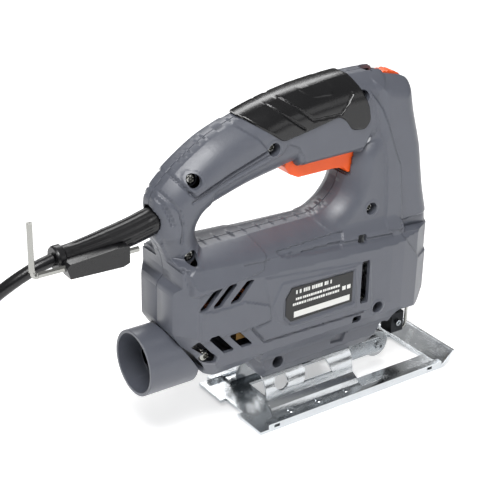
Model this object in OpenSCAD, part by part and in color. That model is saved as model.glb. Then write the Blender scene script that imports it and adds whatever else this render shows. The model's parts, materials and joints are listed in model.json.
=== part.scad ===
// Corded jigsaw: two-shell housing with a D-handle, universal motor along X, spur gear with a
// crank pin, a reciprocating plunger, and a sheet steel base that tilts on a half-round cradle.
// The origin is where the blade line meets the sole. +X is the cutting direction, +Z is up, and
// +Y is the tool's left side. Side outlines give X from the sole's rear edge, Z from the sole.

/* [Sole and cradle] */
// Length of the flat sole
sole_len = 144; // [120:1:180]
// Width of the sole
sole_w = 66; // [60:1:84]
// Thickness of the sole's sheet
sole_t = 2; // [1.5:0.1:2.5]
// Height of the upturned front flange
flange_h = 10; // [7:0.5:13]
// Width of the sole's central window
window_w = 32; // [28:1:36]
// Distance from the sole's rear edge to the blade line
blade_from_rear = 127; // [118:1:128]
// Height of the bevel axis above the sole
bevel_z = 12; // [11.5:0.5:13]
// Outer radius of the cradle's dome
dome_r = 16; // [15:0.25:17]
// Thickness of the cradle's sheet
cradle_t = 1.5; // [1:0.1:2]
// Length of the cradle along the tool
cradle_len = 66; // [50:1:72]

/* [Housing] */
// Width of the motor housing
body_w = 55; // [52:1:68]
// Width of the handle
handle_w = 32; // [30:1:40]
// Width of the front column
column_w = 36; // [35:1:44]
// Wall of the plastic shells
wall = 2.5; // [2:0.1:3.2]
// Thickness of the soft grip panels
grip_t = 1.2; // [0.8:0.1:2]

/* [Dust port] */
// Outer radius of the dust port
port_r = 19.4; // [17:0.1:22]
// Wall of the dust port
port_t = 2; // [1.5:0.1:3]
// Length of the dust port's straight bore
port_len = 48; // [36:1:60]

/* [Motor] */
// Height of the motor axis above the sole
motor_z = 68; // [66:0.5:70]
// Outer radius of the stator
stator_r = 21; // [17.5:0.5:21.5]
// Length of the stator's iron core
core_len = 40; // [32:1:48]
// Radius of the armature
armature_r = 12; // [9:0.25:13]
// Radius of the motor shaft
shaft_r = 3; // [2.4:0.1:3.6]
// Outer radius of the cooling fan
fan_r = 20; // [16:0.5:21]
// Number of fan blades
fan_blades = 11; // [7:1:15]

/* [Drive] */
// Stroke of the blade
stroke = 18; // [14:1:20]
// Module of the gear teeth
gear_module = 0.8; // [0.7:0.02:0.84]
// Teeth of the motor pinion
pinion_teeth = 6; // [6:1:7]
// Teeth of the crank gear
gear_teeth = 44; // [40:1:46]
// Thickness of the crank gear
gear_t = 6; // [5:0.5:7]
// Radius of the plunger
plunger_r = 3.5; // [3:0.1:4.2]
// Radius of the blade support roller
roller_r = 9; // [7.5:0.25:9.5]

/* [Controls] */
// Width of the trigger
trigger_w = 17; // [14:0.5:20]
// Upward turn of the trigger when pressed, in degrees
trigger_turn = 6; // [4:0.5:7]
// Radius of the speed dial
dial_r = 15; // [14:0.25:16]
// Travel of the lock-on button
lock_travel = 3; // [2:0.5:4]

/* [Cord and key] */
// Diameter of the power cord
cord_d = 7; // [6:0.25:8]
// Width across flats of the hex key
key_af = 3; // [2.5:0.5:4]
// Length of the hex key's long arm
key_long = 62; // [55:1:70]
// Length of the hex key's short arm
key_short = 30; // [24:1:36]

/* [Hidden] */

$fn = 48;
eps = 0.01;
run_gap = 0.05;      // radial gap of a shaft in its bore
slide_gap = 0.3;     // gap between parts that move past each other
seat_gap = 0.1;      // gap round a part that is only seated
rear = -blade_from_rear;

// Housing colours
shell_grey = [0.42, 0.43, 0.47];
soft_black = [0.07, 0.07, 0.08];
signal_orange = [0.98, 0.38, 0.05];
zinc = [0.80, 0.82, 0.84];
steel = [0.62, 0.64, 0.67];
copper = [0.72, 0.43, 0.22];
bronze = [0.66, 0.50, 0.28];

// ---- outlines of the housing, seen from the side ------------------------------------------
// Motor housing, from the rear wall clockwise over the top to the nose and back underneath
body_outline = [[-50, 74], [-50, 100], [-46, 104], [-38, 106], [118, 106], [130, 104.5],
    [139.5, 103], [140.5, 85], [141.5, 78], [141.5, 60], [138, 55], [127, 47], [112, 48],
    [96, 50], [2, 50], [-4, 46], [-31, 44], [-34, 49], [-42, 62]];
// D-handle with its rear post, from the foot of the post over the top and back underneath
handle_outline = [[-46, 94], [-46, 112], [-50, 124], [-54, 129], [-55, 150], [-51, 157],
    [-42, 165.5], [-33, 172], [-21, 179.5], [-7, 185], [10, 190.5], [24, 194], [37, 196.5],
    [51, 198], [65, 199.5], [76, 200], [100, 200], [100, 155], [78, 155], [40, 154.5],
    [31, 153.5], [17, 151], [3, 148], [-10, 144], [-18, 141.5], [-24, 138.5], [-28, 133],
    [-29, 127], [-26, 119], [-24, 94]];
// Front column, from the bottom rear corner upwards and down the front
column_outline = [[50, 102], [50, 118], [58, 119.5], [66, 124], [72, 131], [75, 140],
    [76, 150], [78, 157], [85.5, 164], [85.5, 199], [94, 198], [115, 193], [119, 189], [122, 175], [129, 152],
    [134, 124], [139.5, 103], [139.5, 92], [50, 92]];
// Foot block that rides on the cradle's dome
foot_outline = [[5, 54], [8, 34], [14, 25], [93, 25], [98, 29], [104, 39], [112, 54]];
// Half cross-section of the shoulder between housing and handle: distance from the middle, height
shoulder_half = [[0, 100], [-1, 100], [-1, 104], [-0.95, 108], [-0.73, 113.5], [-0.44, 117],
    [0, 118]];
// Half plan of the motor housing: X from the rear edge, share of the half width
plan_half = [[-51, 0], [-50, -0.62], [-41, -1], [100, -1], [121, -0.9], [134, -0.62],
    [142, -0.25], [142, 0]];

// ---- positions -----------------------------------------------------------------------------
half_w = body_w / 2;
handle_half = handle_w / 2;
column_half = column_w / 2;
gear_distance = gear_module * (pinion_teeth + gear_teeth) / 2;
crank_z = motor_z + gear_distance;
bracket_x = rear + 100;                 // rear face of the gear bracket
bracket_t = 8;
gear_x = bracket_x + bracket_t + 1.5;   // rear face of the crank gear
bearing_r = 9.5;
bearing_w = 6;
core_x = rear + 10;                     // rear end of the stator core
fan_x = core_x + core_len + 16;
fan_w = 10;
commutator_x = core_x - 26;
rear_bearing_x = rear - 26;
axle_r = 3;
pin_r = 3;
pin_len = 3.5;
yoke_x = gear_x + gear_t + pin_len + 0.6;
yoke_t = 4;
yoke_half_z = 6;
upper_bush_z = crank_z + stroke / 2 + yoke_half_z + 1;
lower_bush_z = 52;
bush_h = 6;
bush_r = 7;
plunger_bottom = 32;
plunger_top = upper_bush_z + bush_h + stroke / 2 - 2;
clamp_h = 14;
bolt_x = rear + 49;                     // bevel bolt
bolt_r = 2.5;
nut_r = 4.6;
roller_x = -plunger_r - 2 - roller_r;   // roller axle, so that the roller meets the blade's back
roller_z = 12.5;
roller_pin_r = 2;
dial_x = rear + 104;
dial_z = 197 - dial_r;
dial_w = 8;
dial_pin_r = 2;
trigger_hinge = [rear + 84, 162];
trigger_pin_r = 2;
lock_x = rear + 30;
lock_z = 172;
lock_r = 5;
key_bend = [rear - 129, -10, 129];
key_r = key_af / sqrt(3);
sheath_root = [rear - 45, 0, 139.5];
sheath_knee = [rear - 80, 0, 132.7];
sheath_end = [rear - 108, 0, 130.5];
sheath_flange = 4;

// Screws that join the shells: X from the rear edge, Z, depth of the head from the middle plane
shell_screws = [[-35, 162, 9], [16, 170, 10.5], [78, 189, 9], [87, 119, 13], [-37, 118.5, 10.5],
    [-32, 58.5, 20], [21, 36.5, 12], [89, 57, 20]];
screw_r = 1.9;
screw_head_r = 3.6;
screw_head_h = 2.4;
boss_r = screw_head_r + 1.4;

// Way of the cord from the sheath's end past the dust port down to the floor and to the coil
cord_way = [[-239, 0, 130.5], [-250, 0.5, 127.5], [-262, 3, 121], [-273, 8, 111], [-281, 14, 97],
    [-286, 19, 80], [-289, 22.5, 62], [-293, 25, 45], [-300, 27.5, 29], [-311, 29.3, 15],
    [-324, 30, 6.5], [-338, 30, 4.1], [-353, 29, 4.1]];
coil_centre = [-363, -12];
coil_mean_r = 35;
coil_base = 0.6;       // thickness of the tie under the coil
coil_turns_wide = 3;
coil_in = coil_mean_r - coil_turns_wide * cord_d / 2;
coil_out = coil_mean_r + coil_turns_wide * cord_d / 2;
coil_h = 2 * cord_d;
// Way of the cord's tail, half a turn over the coil to the plug that lies on it
tail_way = [[-363, 30, 13], [-379.5, 25.6, 17], [-391.6, 13.5, 18.1], [-396, -3, 18.1],
    [-391.6, -19.5, 19], [-379.5, -31.6, 22], [-363, -36, 26], [-358, -36, 26.6]];
plug_at = tail_way[len(tail_way) - 1];

// ---- helpers -------------------------------------------------------------------------------
// Outline points moved from the sole's rear edge to the blade line
function placed(points) = [for (q = points) [q[0] + rear, q[1]]];

// Extrudes a side outline (X, Z) across the tool from y0 to y1
module slab(y0, y1) {
    translate([0, y1, 0]) rotate([90, 0, 0]) linear_extrude(y1 - y0) children();
}

// Extrudes a cross-section (Y, Z) along the tool from x0 to x1
module along(x0, x1) {
    translate([x0, 0, 0]) rotate([90, 0, 90]) linear_extrude(x1 - x0) children();
}

// Cylinder along X
module x_rod(x0, x1, y, z, r) {
    translate([x0, y, z]) rotate([0, 90, 0]) cylinder(h = x1 - x0, r = r);
}

// Cylinder along Y
module y_rod(x, y0, y1, z, r) {
    translate([x, y1, z]) rotate([90, 0, 0]) cylinder(h = y1 - y0, r = r);
}

// Cone between two points of the plane y = 0
module link(a, b, ra, rb) {
    translate(a) rotate([0, atan2(b[0] - a[0], b[2] - a[2]), 0])
        cylinder(h = norm(b - a), r1 = ra, r2 = rb);
}

// Mirrors a right-hand child to the left
module on_left() { mirror([0, 1, 0]) children(); }

// ---- swept cord ----------------------------------------------------------------------------
function unit(v) = v / norm(v);
function heading(way, i) =
    unit(way[min(i + 1, len(way) - 1)] - way[max(i - 1, 0)]);
function ring(way, i, r, sides) =
    let (t = heading(way, i), side = unit(cross(t, [0, 1, 0.05])), up = cross(side, t))
    [for (k = [0 : sides - 1])
        way[i] + r * (cos(360 * k / sides) * side + sin(360 * k / sides) * up)];

module swept(way, r, sides = 10) {
    n = len(way);
    points = [for (i = [0 : n - 1]) each ring(way, i, r, sides)];
    start = [for (k = [0 : sides - 1]) k];
    end = [for (k = [sides - 1 : -1 : 0]) (n - 1) * sides + k];
    walls = [for (i = [0 : n - 2], k = [0 : sides - 1])
        let (a = i * sides + k, b = i * sides + (k + 1) % sides)
        each [[a, a + sides, b], [b, a + sides, b + sides]]];
    polyhedron(points = points, faces = concat([start, end], walls), convexity = 4);
}

// ---- housing shells ------------------------------------------------------------------------
// Solid of the motor housing's right half, with the wall already taken off when inset is given
module body_half(inset) {
    intersection() {
        slab(-half_w + inset, 0) offset(delta = -inset) polygon(placed(body_outline));
        translate([0, 0, 40]) linear_extrude(70) offset(delta = -inset) plan_full();
    }
}

module plan_full() {
    right = [for (q = plan_half) [q[0] + rear, q[1] * half_w]];
    left = [for (i = [len(right) - 1 : -1 : 0]) [right[i][0], -right[i][1]]];
    polygon(concat(right, left));
}

module shoulder_half_solid(inset) {
    along(rear - 45 + inset, rear + 96 - inset)
        polygon([for (q = shoulder_half)
            [q[0] * (half_w - inset), q[1] - (q[1] > 104 ? inset : 0)]]);
}

// Right half of a side outline whose outer edges are rounded in steps of depth
edge_round = 10;
round_steps = [0, 0.06, 0.2, 0.45, 1];
module rounded_half(half, inset) {
    for (i = [1 : len(round_steps) - 1]) {
        deep = (1 - round_steps[i]) * edge_round;
        slab(-half + inset + round_steps[i - 1] * edge_round, 0)
            offset(delta = -inset - edge_round + sqrt(pow(edge_round, 2) - pow(deep, 2)))
                children();
    }
}

module outer_half() {
    body_half(0);
    shoulder_half_solid(0);
    rounded_half(handle_half, 0) polygon(placed(handle_outline));
    rounded_half(column_half, 0) polygon(placed(column_outline));
    foot_half();
}

module foot_half() {
    intersection() {
        slab(-column_half - 2, 0) polygon(placed(foot_outline));
        along(rear, rear + 115)
            polygon([[0, 22], [-10, 24.5], [-14, 25.5], [-column_half - 1, 33],
                [-column_half - 1, 56], [0, 56]]);
    }
}

module inner_half() {
    body_half(wall);
    shoulder_half_solid(wall);
    rounded_half(handle_half, wall) polygon(placed(handle_outline));
    rounded_half(column_half, wall) polygon(placed(column_outline));
    // Passages that join the hollow stretches
    translate([rear - 43, -handle_half + wall, 98]) cube([15, handle_half - wall, 12]);
    translate([rear + 74, -handle_half + wall, 158.5]) cube([18, handle_half - wall, 36]);
    translate([rear + 62, -column_half + wall, 98]) cube([60, column_half - wall, 18]);
}

// Upright webs that carry the motor and the drive, each with its seat cut round
module webs_half() {
    intersection() {
        body_half(wall / 2);
        difference() {
            union() {
                web(core_x + 2, 3);
                web(core_x + core_len - 5, 3);
                web(rear_bearing_x + 1, bearing_w - 2);
            }
            x_rod(core_x - 1, core_x + core_len + 1, 0, motor_z, stator_r);
            x_rod(rear_bearing_x - 8, rear_bearing_x + 8, 0, motor_z, bearing_r);
        }
    }
}

module web(x, t) {
    translate([x, -half_w, 40]) cube([t, half_w, 70]);
}

// Solid lumps that carry the plunger's bushes and the gear bracket
module lumps_half() {
    intersection() {
        outer_half();
        union() {
            translate([-11, -11, 47]) cube([22, 11, lower_bush_z + bush_h + 1 - 47]);
            translate([-11, -11, upper_bush_z - 1]) cube([24, 11, bush_h + 2]);
            for (z = [40, bracket_high - 6])
                translate([bracket_x - 2, -half_w, z])
                    cube([bracket_t + 4, half_w, bracket_low + 4 - 40]);
        }
    }
}

module boss(s) {
    intersection() {
        outer_half();
        y_rod(s[0] + rear, -half_w - 1, 0, s[1], boss_r);
    }
}

// Bolt circle, vents and seats that go through one shell
module shell_cuts() {
    // Slanted cooling slots over and under the side panel at the rear
    for (i = [0 : 2]) {
        vent([rear - 34 + 11.5 * i, 95.3], 3.4, 15, -50);
        vent([rear - 35 + 11.5 * i, 66.3 - i / 2], 4, 12, 45);
    }
    // Tall outlet slot beside the fan, with a small window above and below it
    slab(-half_w - 1, -half_w + wall + 1) {
        translate([rear + 75, 64]) square([4.5, 26.5]);
        translate([rear + 71.5, 51]) square([5, 3.5]);
        translate([rear + 75, 101]) square([5, 4]);
    }
    // Plunger, its bushes and the guard wire
    translate([0, 0, 30]) cylinder(h = 100, r = plunger_r + 0.6);
    translate([0, 0, lower_bush_z]) cylinder(h = bush_h, r = bush_r);
    translate([0, 0, upper_bush_z]) cylinder(h = bush_h, r = bush_r);
    translate([-9, -8.5, 40]) cube([15, 17, 10]);
    guard_shape(guard_wire_r);
    // Room for the stator, its coils and the fan
    x_rod(core_x, core_x + core_len, 0, motor_z, stator_r);
    x_rod(core_x - coil_over - 1, fan_x + fan_w + 1, 0, motor_z, armature_r + 7);
    x_rod(fan_x - 1, fan_x + fan_w + 1, 0, motor_z, fan_r + 1);
    // Gear bracket slot and crank gear room
    translate([bracket_x, -bracket_half, bracket_low])
        cube([bracket_t, bracket_half, bracket_high - bracket_low]);
    x_rod(gear_x - 1, gear_x + gear_t + 1, 0, crank_z, gear_tip_r + 1);
    translate([yoke_x - 4, -yoke_half_y - 1, crank_z - stroke / 2 - yoke_half_z - 1])
        cube([yoke_t + 12, yoke_half_y + 1, stroke + 2 * yoke_half_z + 2]);
    // Half-round seat on the cradle
    x_rod(rear, rear + 120, 0, bevel_z, dome_r + slide_gap);
    // Bevel bolt and nut
    translate([bolt_x, 0, 20]) cylinder(h = 22, r = bolt_r + seat_gap);
    translate([bolt_x - nut_r - seat_gap, -nut_r - seat_gap, 33])
        cube([2 * (nut_r + seat_gap), 2 * (nut_r + seat_gap), 5]);
    // Rear wall opening into the dust port
    x_rod(rear - 60, rear - 30, 0, port_z, port_r - port_t - port_step);
    // Cord sheath's seat
    link(sheath_root + [0.1, 0, 0], sheath_knee, 8 + seat_gap, 7.4 + seat_gap);
    // Trigger, dial and lock button openings
    translate([rear + 26, -trigger_w / 2 - slide_gap, 140])
        cube([57, trigger_w + 2 * slide_gap, 33]);
    y_rod(trigger_hinge[0], -trigger_w / 2 - slide_gap, trigger_w / 2 + slide_gap,
        trigger_hinge[1], 5.2);
    trigger_pin_rod();
    y_rod(dial_x, -dial_w / 2 - slide_gap, dial_w / 2 + slide_gap, dial_z, dial_r + 0.5);
    // Hole for the roller bracket's bolt
    bracket_stem(seat_gap);
}

module vent(at, width, height, lean) {
    slab(-half_w - 1, -half_w + wall + 1)
        translate(at) rotate(lean) square([width, height], center = true);
}

// Screw holes: clearance and counterbore through the right shell, blind pilots in the left
module screw_cuts(blind) {
    for (s = shell_screws) {
        if (blind) {
            y_rod(s[0] + rear, -s[2], 1, s[1], screw_r);
        } else {
            y_rod(s[0] + rear, -half_w - 1, 1, s[1], screw_r + seat_gap);
            y_rod(s[0] + rear, -half_w - 1, -s[2], s[1], screw_head_r + seat_gap);
        }
    }
}

module shell_half(blind) {
    difference() {
        union() {
            difference() {
                outer_half();
                inner_half();
            }
            webs_half();
            lumps_half();
            for (s = shell_screws) boss(s);
        }
        shell_cuts();
        screw_cuts(blind);
    }
}

module housing_right() {
    color(shell_grey) shell_half(false);
}

module housing_left() {
    color(shell_grey) difference() {
        on_left() shell_half(true);
        y_rod(lock_x, 0, handle_half + 1, lock_z, lock_r + slide_gap);
    }
}

// Soft panels let into both sides of the handle
grip_outline = [[-9, 187], [24, 171.5], [38, 172.5], [62, 176.5], [70, 168.5], [80, 169.5],
    [84, 178], [82, 190], [74, 199], [62, 199.2], [37, 196.6], [10, 190.6]];

module grip_panel() {
    slab(-handle_half - grip_t, -handle_half) offset(delta = -1) polygon(placed(grip_outline));
}

module grip_right() { color(soft_black) grip_panel(); }
module grip_left() {
    color(soft_black) difference() {
        on_left() grip_panel();
        y_rod(lock_x, 0, handle_half + grip_t + 1, lock_z, lock_r + slide_gap + 1);
    }
}

// Dust port: straight tube for a vacuum hose, cut on the slant to meet the housing's rear
port_z = 53.5;
port_mouth = rear - 65.5;
port_seat = 15;     // length of the hose cuff's seat
port_step = 0.8;    // height of the step that stops the cuff
module dust_port() {
    color(shell_grey) difference() {
        intersection() {
            x_rod(port_mouth, port_mouth + port_len, 0, port_z, port_r);
            slab(-port_r - 1, port_r + 1)
                polygon(placed([[-70, 30], [-34.2, 30], [-34.2, 49], [-42.3, 62], [-50.3, 74],
                    [-50.3, 80], [-70, 80]]));
        }
        x_rod(port_mouth - 1, port_mouth + port_seat, 0, port_z, port_r - port_t);
        x_rod(port_mouth - 1, port_mouth + port_len + 1, 0, port_z, port_r - port_t - port_step);
    }
}

// ---- cord, sheath and plug -----------------------------------------------------------------
module cord_sheath() {
    color(soft_black) {
        link(sheath_root, sheath_knee, 8, 7.4);
        translate(sheath_knee) sphere(r = 7.7);
        link(sheath_knee, sheath_end, 7.4, 5.6);
        translate(sheath_end - [sheath_flange, 0, 0]) rotate([0, 90, 0])
            cylinder(h = sheath_flange, r = 7);
    }
}

module power_cord() {
    color(soft_black) swept(cord_way, cord_d / 2);
}

module cord_coil() {
    color(soft_black) translate([coil_centre[0], coil_centre[1], coil_base])
        rotate_extrude()
            polygon([[coil_in, 1.5], [coil_in + 1.5, 0], [coil_out - 1.5, 0], [coil_out, 1.5],
                [coil_out, coil_h - 1.5], [coil_out - 1.5, coil_h], [coil_in + 1.5, coil_h],
                [coil_in, coil_h - 1.5]]);
}

// Strap round the bundle of turns
module cord_tie() {
    strap_w = 8;
    strap_t = coil_base;
    color(soft_black) translate([coil_centre[0] + coil_in - strap_t - 0.6, coil_centre[1] - strap_w / 2, 0])
        difference() {
            cube([coil_out - coil_in + 2 * strap_t + 1.2, strap_w, coil_h + 2 * strap_t]);
            translate([strap_t, -1, strap_t])
                cube([coil_out - coil_in + 1.2, strap_w + 2, coil_h]);
        }
}

module cord_tail() {
    color(soft_black) swept(tail_way, cord_d / 2);
}

// Two-pin plug with a tapered neck, lying on the coil
module plug_body() {
    color(soft_black) {
        translate(plug_at) rotate([0, 90, 0]) cylinder(h = 20, r1 = 4.5, r2 = 7);
        translate(plug_at + [20, -17, -12]) cube([17, 34, 24]);
    }
}

module plug_pins() {
    color(steel) for (y = [-9.5, 9.5])
        translate(plug_at + [37, y, 0]) rotate([0, 90, 0]) cylinder(h = 19, r = 2.4);
}

// Rubber clip under the sheath that holds the hex key
module key_holder() {
    color(soft_black) difference() {
        slab(key_bend[1] - 3.5, key_bend[1] + 4.5)
            polygon(placed([[-111, 130], [-109, 123.6], [-78, 122.6], [-74, 124], [-74, 133.6],
                [-82, 134], [-109, 132]]));
        x_rod(rear - 112, rear - 60, key_bend[1], key_bend[2], key_r + 0.15);
        link(sheath_root, sheath_knee, 8, 7.4);
        link(sheath_knee, sheath_end, 7.4, 5.6);
        translate(sheath_knee) sphere(r = 7.7);
        translate(sheath_end - [sheath_flange, 0, 0]) rotate([0, 90, 0])
            cylinder(h = sheath_flange, r = 7.1);
    }
}

module hex_key() {
    bend = 3;
    color(zinc) {
        translate(key_bend + [bend, 0, 0]) rotate([0, 90, 0]) cylinder(h = key_long - bend, r = key_r, $fn = 6);
        translate(key_bend + [0, 0, bend]) cylinder(h = key_short - bend, r = key_r, $fn = 6);
        translate(key_bend + [bend, 0, bend]) rotate([90, 0, 0])
            rotate_extrude(angle = 90, start = 180)
                translate([bend, 0]) rotate(30) circle(r = key_r, $fn = 6);
    }
}

module rating_label() {
    color([0.05, 0.05, 0.06]) slab(-half_w - 0.3, -half_w)
        polygon(placed([[23, 88], [68, 87], [68, 67], [23, 66.5], [19, 71], [19, 82]]));
}

// ---- controls ------------------------------------------------------------------------------
module trigger_pin_rod() {
    reach = handle_half - wall + 1;
    y_rod(trigger_hinge[0], -reach, reach, trigger_hinge[1], trigger_pin_r);
}

module trigger_pin() { color(steel) trigger_pin_rod(); }

module trigger() {
    color(signal_orange) difference() {
        union() {
            slab(-trigger_w / 2, trigger_w / 2)
                polygon(placed([[30, 162], [29.5, 154], [33, 149], [39, 146], [64, 146],
                    [72, 145], [75, 141.5], [79, 141.5], [81, 148], [81, 161], [70, 163]]));
            y_rod(trigger_hinge[0], -trigger_w / 2, trigger_w / 2, trigger_hinge[1], 4.5);
        }
        y_rod(trigger_hinge[0], -trigger_w, trigger_w, trigger_hinge[1], trigger_pin_r + run_gap);
        // Pocket for the return spring
        translate([spring_x, 0, 157]) cylinder(h = 10, r = 4.6);
    }
}

// The return springs are drawn at their pressed length
spring_x = rear + 42;
switch_z = 173.5;
spring_rise = (trigger_hinge[0] - spring_x) * sin(trigger_turn);
module trigger_spring() {
    low = 157 + spring_rise + 0.6;
    color(steel) translate([spring_x, 0, low]) spring_tube(3, 0.8, switch_z - low);
}

module spring_tube(r, wire, h) {
    difference() {
        cylinder(h = h, r = r);
        translate([0, 0, -1]) cylinder(h = h + 2, r = r - wire);
    }
}

module lock_button() {
    color(soft_black) {
        y_rod(lock_x, trigger_w / 2 + lock_travel + 1, handle_half + grip_t + lock_travel, lock_z, lock_r);
        y_rod(lock_x, trigger_w / 2 + lock_travel + 1, handle_half - wall - slide_gap, lock_z, lock_r + 1.2);
    }
}

module lock_spring() {
    color(steel) translate([lock_x, trigger_w / 2 + 1 - 0.1, lock_z])
        rotate([90, 0, 0]) spring_tube(2.6, 0.6, lock_travel + 1);
}

module speed_dial() {
    color(signal_orange) difference() {
        y_rod(dial_x, -dial_w / 2, dial_w / 2, dial_z, dial_r);
        y_rod(dial_x, -dial_w, dial_w, dial_z, dial_pin_r + run_gap);
        for (i = [0 : 23])
            translate([dial_x, 0, dial_z]) rotate([0, 15 * i, 0]) translate([dial_r + 0.4, 0, 0])
                rotate([90, 0, 0]) cylinder(h = 2 * dial_w, r = 1, center = true, $fn = 8);
    }
}

module dial_board() {
    color([0.10, 0.35, 0.20]) {
        difference() {
            translate([dial_x - 14, dial_w / 2 + 1, dial_z - 16]) cube([20, 1.6, 20]);
            y_rod(dial_x, 0, 20, dial_z, dial_pin_r);
        }
        y_rod(dial_x, -dial_w / 2 - 1, dial_w / 2 + 1 + 1.6, dial_z, dial_pin_r);
    }
}

module switch_module() {
    color([0.12, 0.12, 0.13]) difference() {
        translate([rear + 34, -9, switch_z]) cube([38, 18, 12]);
        y_rod(rear + 16, -20, 20, 170, boss_r + 1);
    }
}

module cord_clamp() {
    color([0.12, 0.12, 0.13]) difference() {
        translate([rear - 38, -10, 146]) cube([8, 20, 5]);
        for (y = [-7, 7]) translate([rear - 34, y, 140]) cylinder(h = 20, r = 1.6);
    }
}

module cord_clamp_screws() {
    color(zinc) for (y = [-7, 7]) translate([rear - 34, y, 0]) {
        translate([0, 0, 143]) cylinder(h = 8, r = 1.5);
        translate([0, 0, 151]) cylinder(h = 1.8, r = 2.8);
    }
}

module capacitor() {
    color([0.85, 0.75, 0.20]) translate([rear - 12, -7, 158]) cube([18, 14, 11]);
}

// ---- motor ---------------------------------------------------------------------------------
air_gap = 0.6;
coil_over = 6;
yoke = 1.45;         // iron left outside the corners of a winding slot
slot_out = armature_r + (stator_r - armature_r) * 8 / 15;
slot_half = sqrt(pow(stator_r - yoke, 2) - pow(slot_out, 2));
module stator_core() {
    color([0.45, 0.45, 0.47]) difference() {
        x_rod(core_x, core_x + core_len, 0, motor_z, stator_r);
        x_rod(core_x - 1, core_x + core_len + 1, 0, motor_z, armature_r + air_gap);
        for (side = [0, 1]) translate([core_x - 1, 0, motor_z]) mirror([0, 0, side])
            translate([0, -slot_half, armature_r - 0.4])
                cube([core_len + 2, 2 * slot_half, slot_out - armature_r + 0.4]);
    }
}

module field_coils() {
    color(copper) for (side = [0, 1]) translate([core_x - coil_over, 0, motor_z]) mirror([0, 0, side])
        translate([0, 1 - slot_half, armature_r + 0.8])
            cube([core_len + 2 * coil_over, 2 * slot_half - 2, slot_out - armature_r - 1.2]);
}

module armature_shaft() {
    color(steel) {
        x_rod(rear_bearing_x - 1, gear_x - 1, 0, motor_z, shaft_r);
        // Pinion cut on the front end
        translate([gear_x - 1, 0, motor_z]) rotate([90, 0, 90])
            linear_extrude(gear_t + 1.5) gear_outline(pinion_teeth, 90);
    }
}

module armature_core() {
    color([0.42, 0.42, 0.44]) difference() {
        x_rod(core_x, core_x + core_len, 0, motor_z, armature_r);
        x_rod(core_x - 1, core_x + core_len + 1, 0, motor_z, shaft_r);
        for (i = [0 : 11]) translate([core_x - 1, 0, motor_z]) rotate([30 * i, 0, 0])
            translate([0, armature_r - 1.6, -0.6]) cube([core_len + 2, 2.4, 1.2]);
    }
}

module armature_winding() {
    end_len = 6;
    color(copper) for (x = [core_x - end_len, core_x + core_len])
        difference() {
            x_rod(x, x + end_len, 0, motor_z, armature_r - 1.8);
            x_rod(x - 1, x + end_len + 1, 0, motor_z, shaft_r);
        }
}

commutator_r = 8.5;
commutator_len = 14;
module commutator() {
    color(copper) difference() {
        x_rod(commutator_x, commutator_x + commutator_len, 0, motor_z, commutator_r);
        x_rod(commutator_x - 1, commutator_x + commutator_len + 1, 0, motor_z, shaft_r);
    }
}

module cooling_fan() {
    hub_r = 8;
    color([0.85, 0.85, 0.82]) difference() {
        union() {
            x_rod(fan_x, fan_x + fan_w, 0, motor_z, hub_r);
            x_rod(fan_x + fan_w - 1.5, fan_x + fan_w, 0, motor_z, fan_r);
            for (i = [0 : fan_blades - 1])
                translate([fan_x, 0, motor_z]) rotate([360 * i / fan_blades, 0, 0])
                    translate([0, hub_r - 1, -0.7]) cube([fan_w - 1, fan_r - hub_r, 1.4]);
        }
        x_rod(fan_x - 1, fan_x + fan_w + 1, 0, motor_z, shaft_r);
    }
}

module bearing(x) {
    color(steel) difference() {
        x_rod(x, x + bearing_w, 0, motor_z, bearing_r);
        x_rod(x - 1, x + bearing_w + 1, 0, motor_z, shaft_r + 0.02);
    }
}

module front_bearing() { bearing(bracket_x); }
module rear_bearing() { bearing(rear_bearing_x); }

brush_x = commutator_x + commutator_len / 2;
brush_half = 3;
module brush_holders() {
    color(bronze) for (side = [-1, 1]) difference() {
        slab_box(brush_x, side, commutator_r + 1.2, half_w - wall - 0.4, brush_half + 1);
        slab_box(brush_x, side, commutator_r, half_w - wall - 1.4, brush_half);
    }
}

// Box centred on x and the motor axis that runs sideways from distance a to b
module slab_box(x, side, a, b, half) {
    translate([x - half, side > 0 ? a : -b, motor_z - half]) cube([2 * half, b - a, 2 * half]);
}

brush_len = 8;
module carbon_brushes() {
    color([0.15, 0.15, 0.15]) for (side = [-1, 1])
        slab_box(brush_x, side, commutator_r + 0.1, commutator_r + 0.1 + brush_len, brush_half - seat_gap);
}

module brush_springs() {
    from = commutator_r + 0.3 + brush_len;
    color(steel) for (side = [-1, 1])
        translate([brush_x, side * from, motor_z]) rotate([side > 0 ? -90 : 90, 0, 0])
            spring_tube(2.2, 0.6, half_w - wall - 1.6 - from);
}

// ---- drive ---------------------------------------------------------------------------------
gear_tip_r = gear_module * (gear_teeth / 2 + 0.85);
// Spur gear outline with straight-flanked teeth that leave play in the mesh
module gear_outline(teeth, phase) {
    pitch_r = gear_module * teeth / 2;
    root_r = pitch_r - 1.15 * gear_module;
    tip_r = pitch_r + 0.85 * gear_module;
    pitch_half = 360 / teeth * 0.20;
    root_half = pitch_half + atan(0.30 * gear_module / pitch_r);
    tip_half = pitch_half - atan(0.28 * gear_module / pitch_r);
    polygon(gear_points(teeth, phase, root_r, pitch_r, tip_r, root_half, pitch_half, tip_half));
}

function gear_points(teeth, phase, root_r, pitch_r, tip_r, root_half, pitch_half, tip_half) =
    [for (i = [0 : teeth - 1]) let (a = phase + 360 * i / teeth)
        each [polar(root_r, a - root_half), polar(pitch_r, a - pitch_half),
            polar(tip_r, a - tip_half), polar(tip_r, a + tip_half),
            polar(pitch_r, a + pitch_half), polar(root_r, a + root_half)]];
function polar(r, a) = r * [cos(a), sin(a)];

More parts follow.
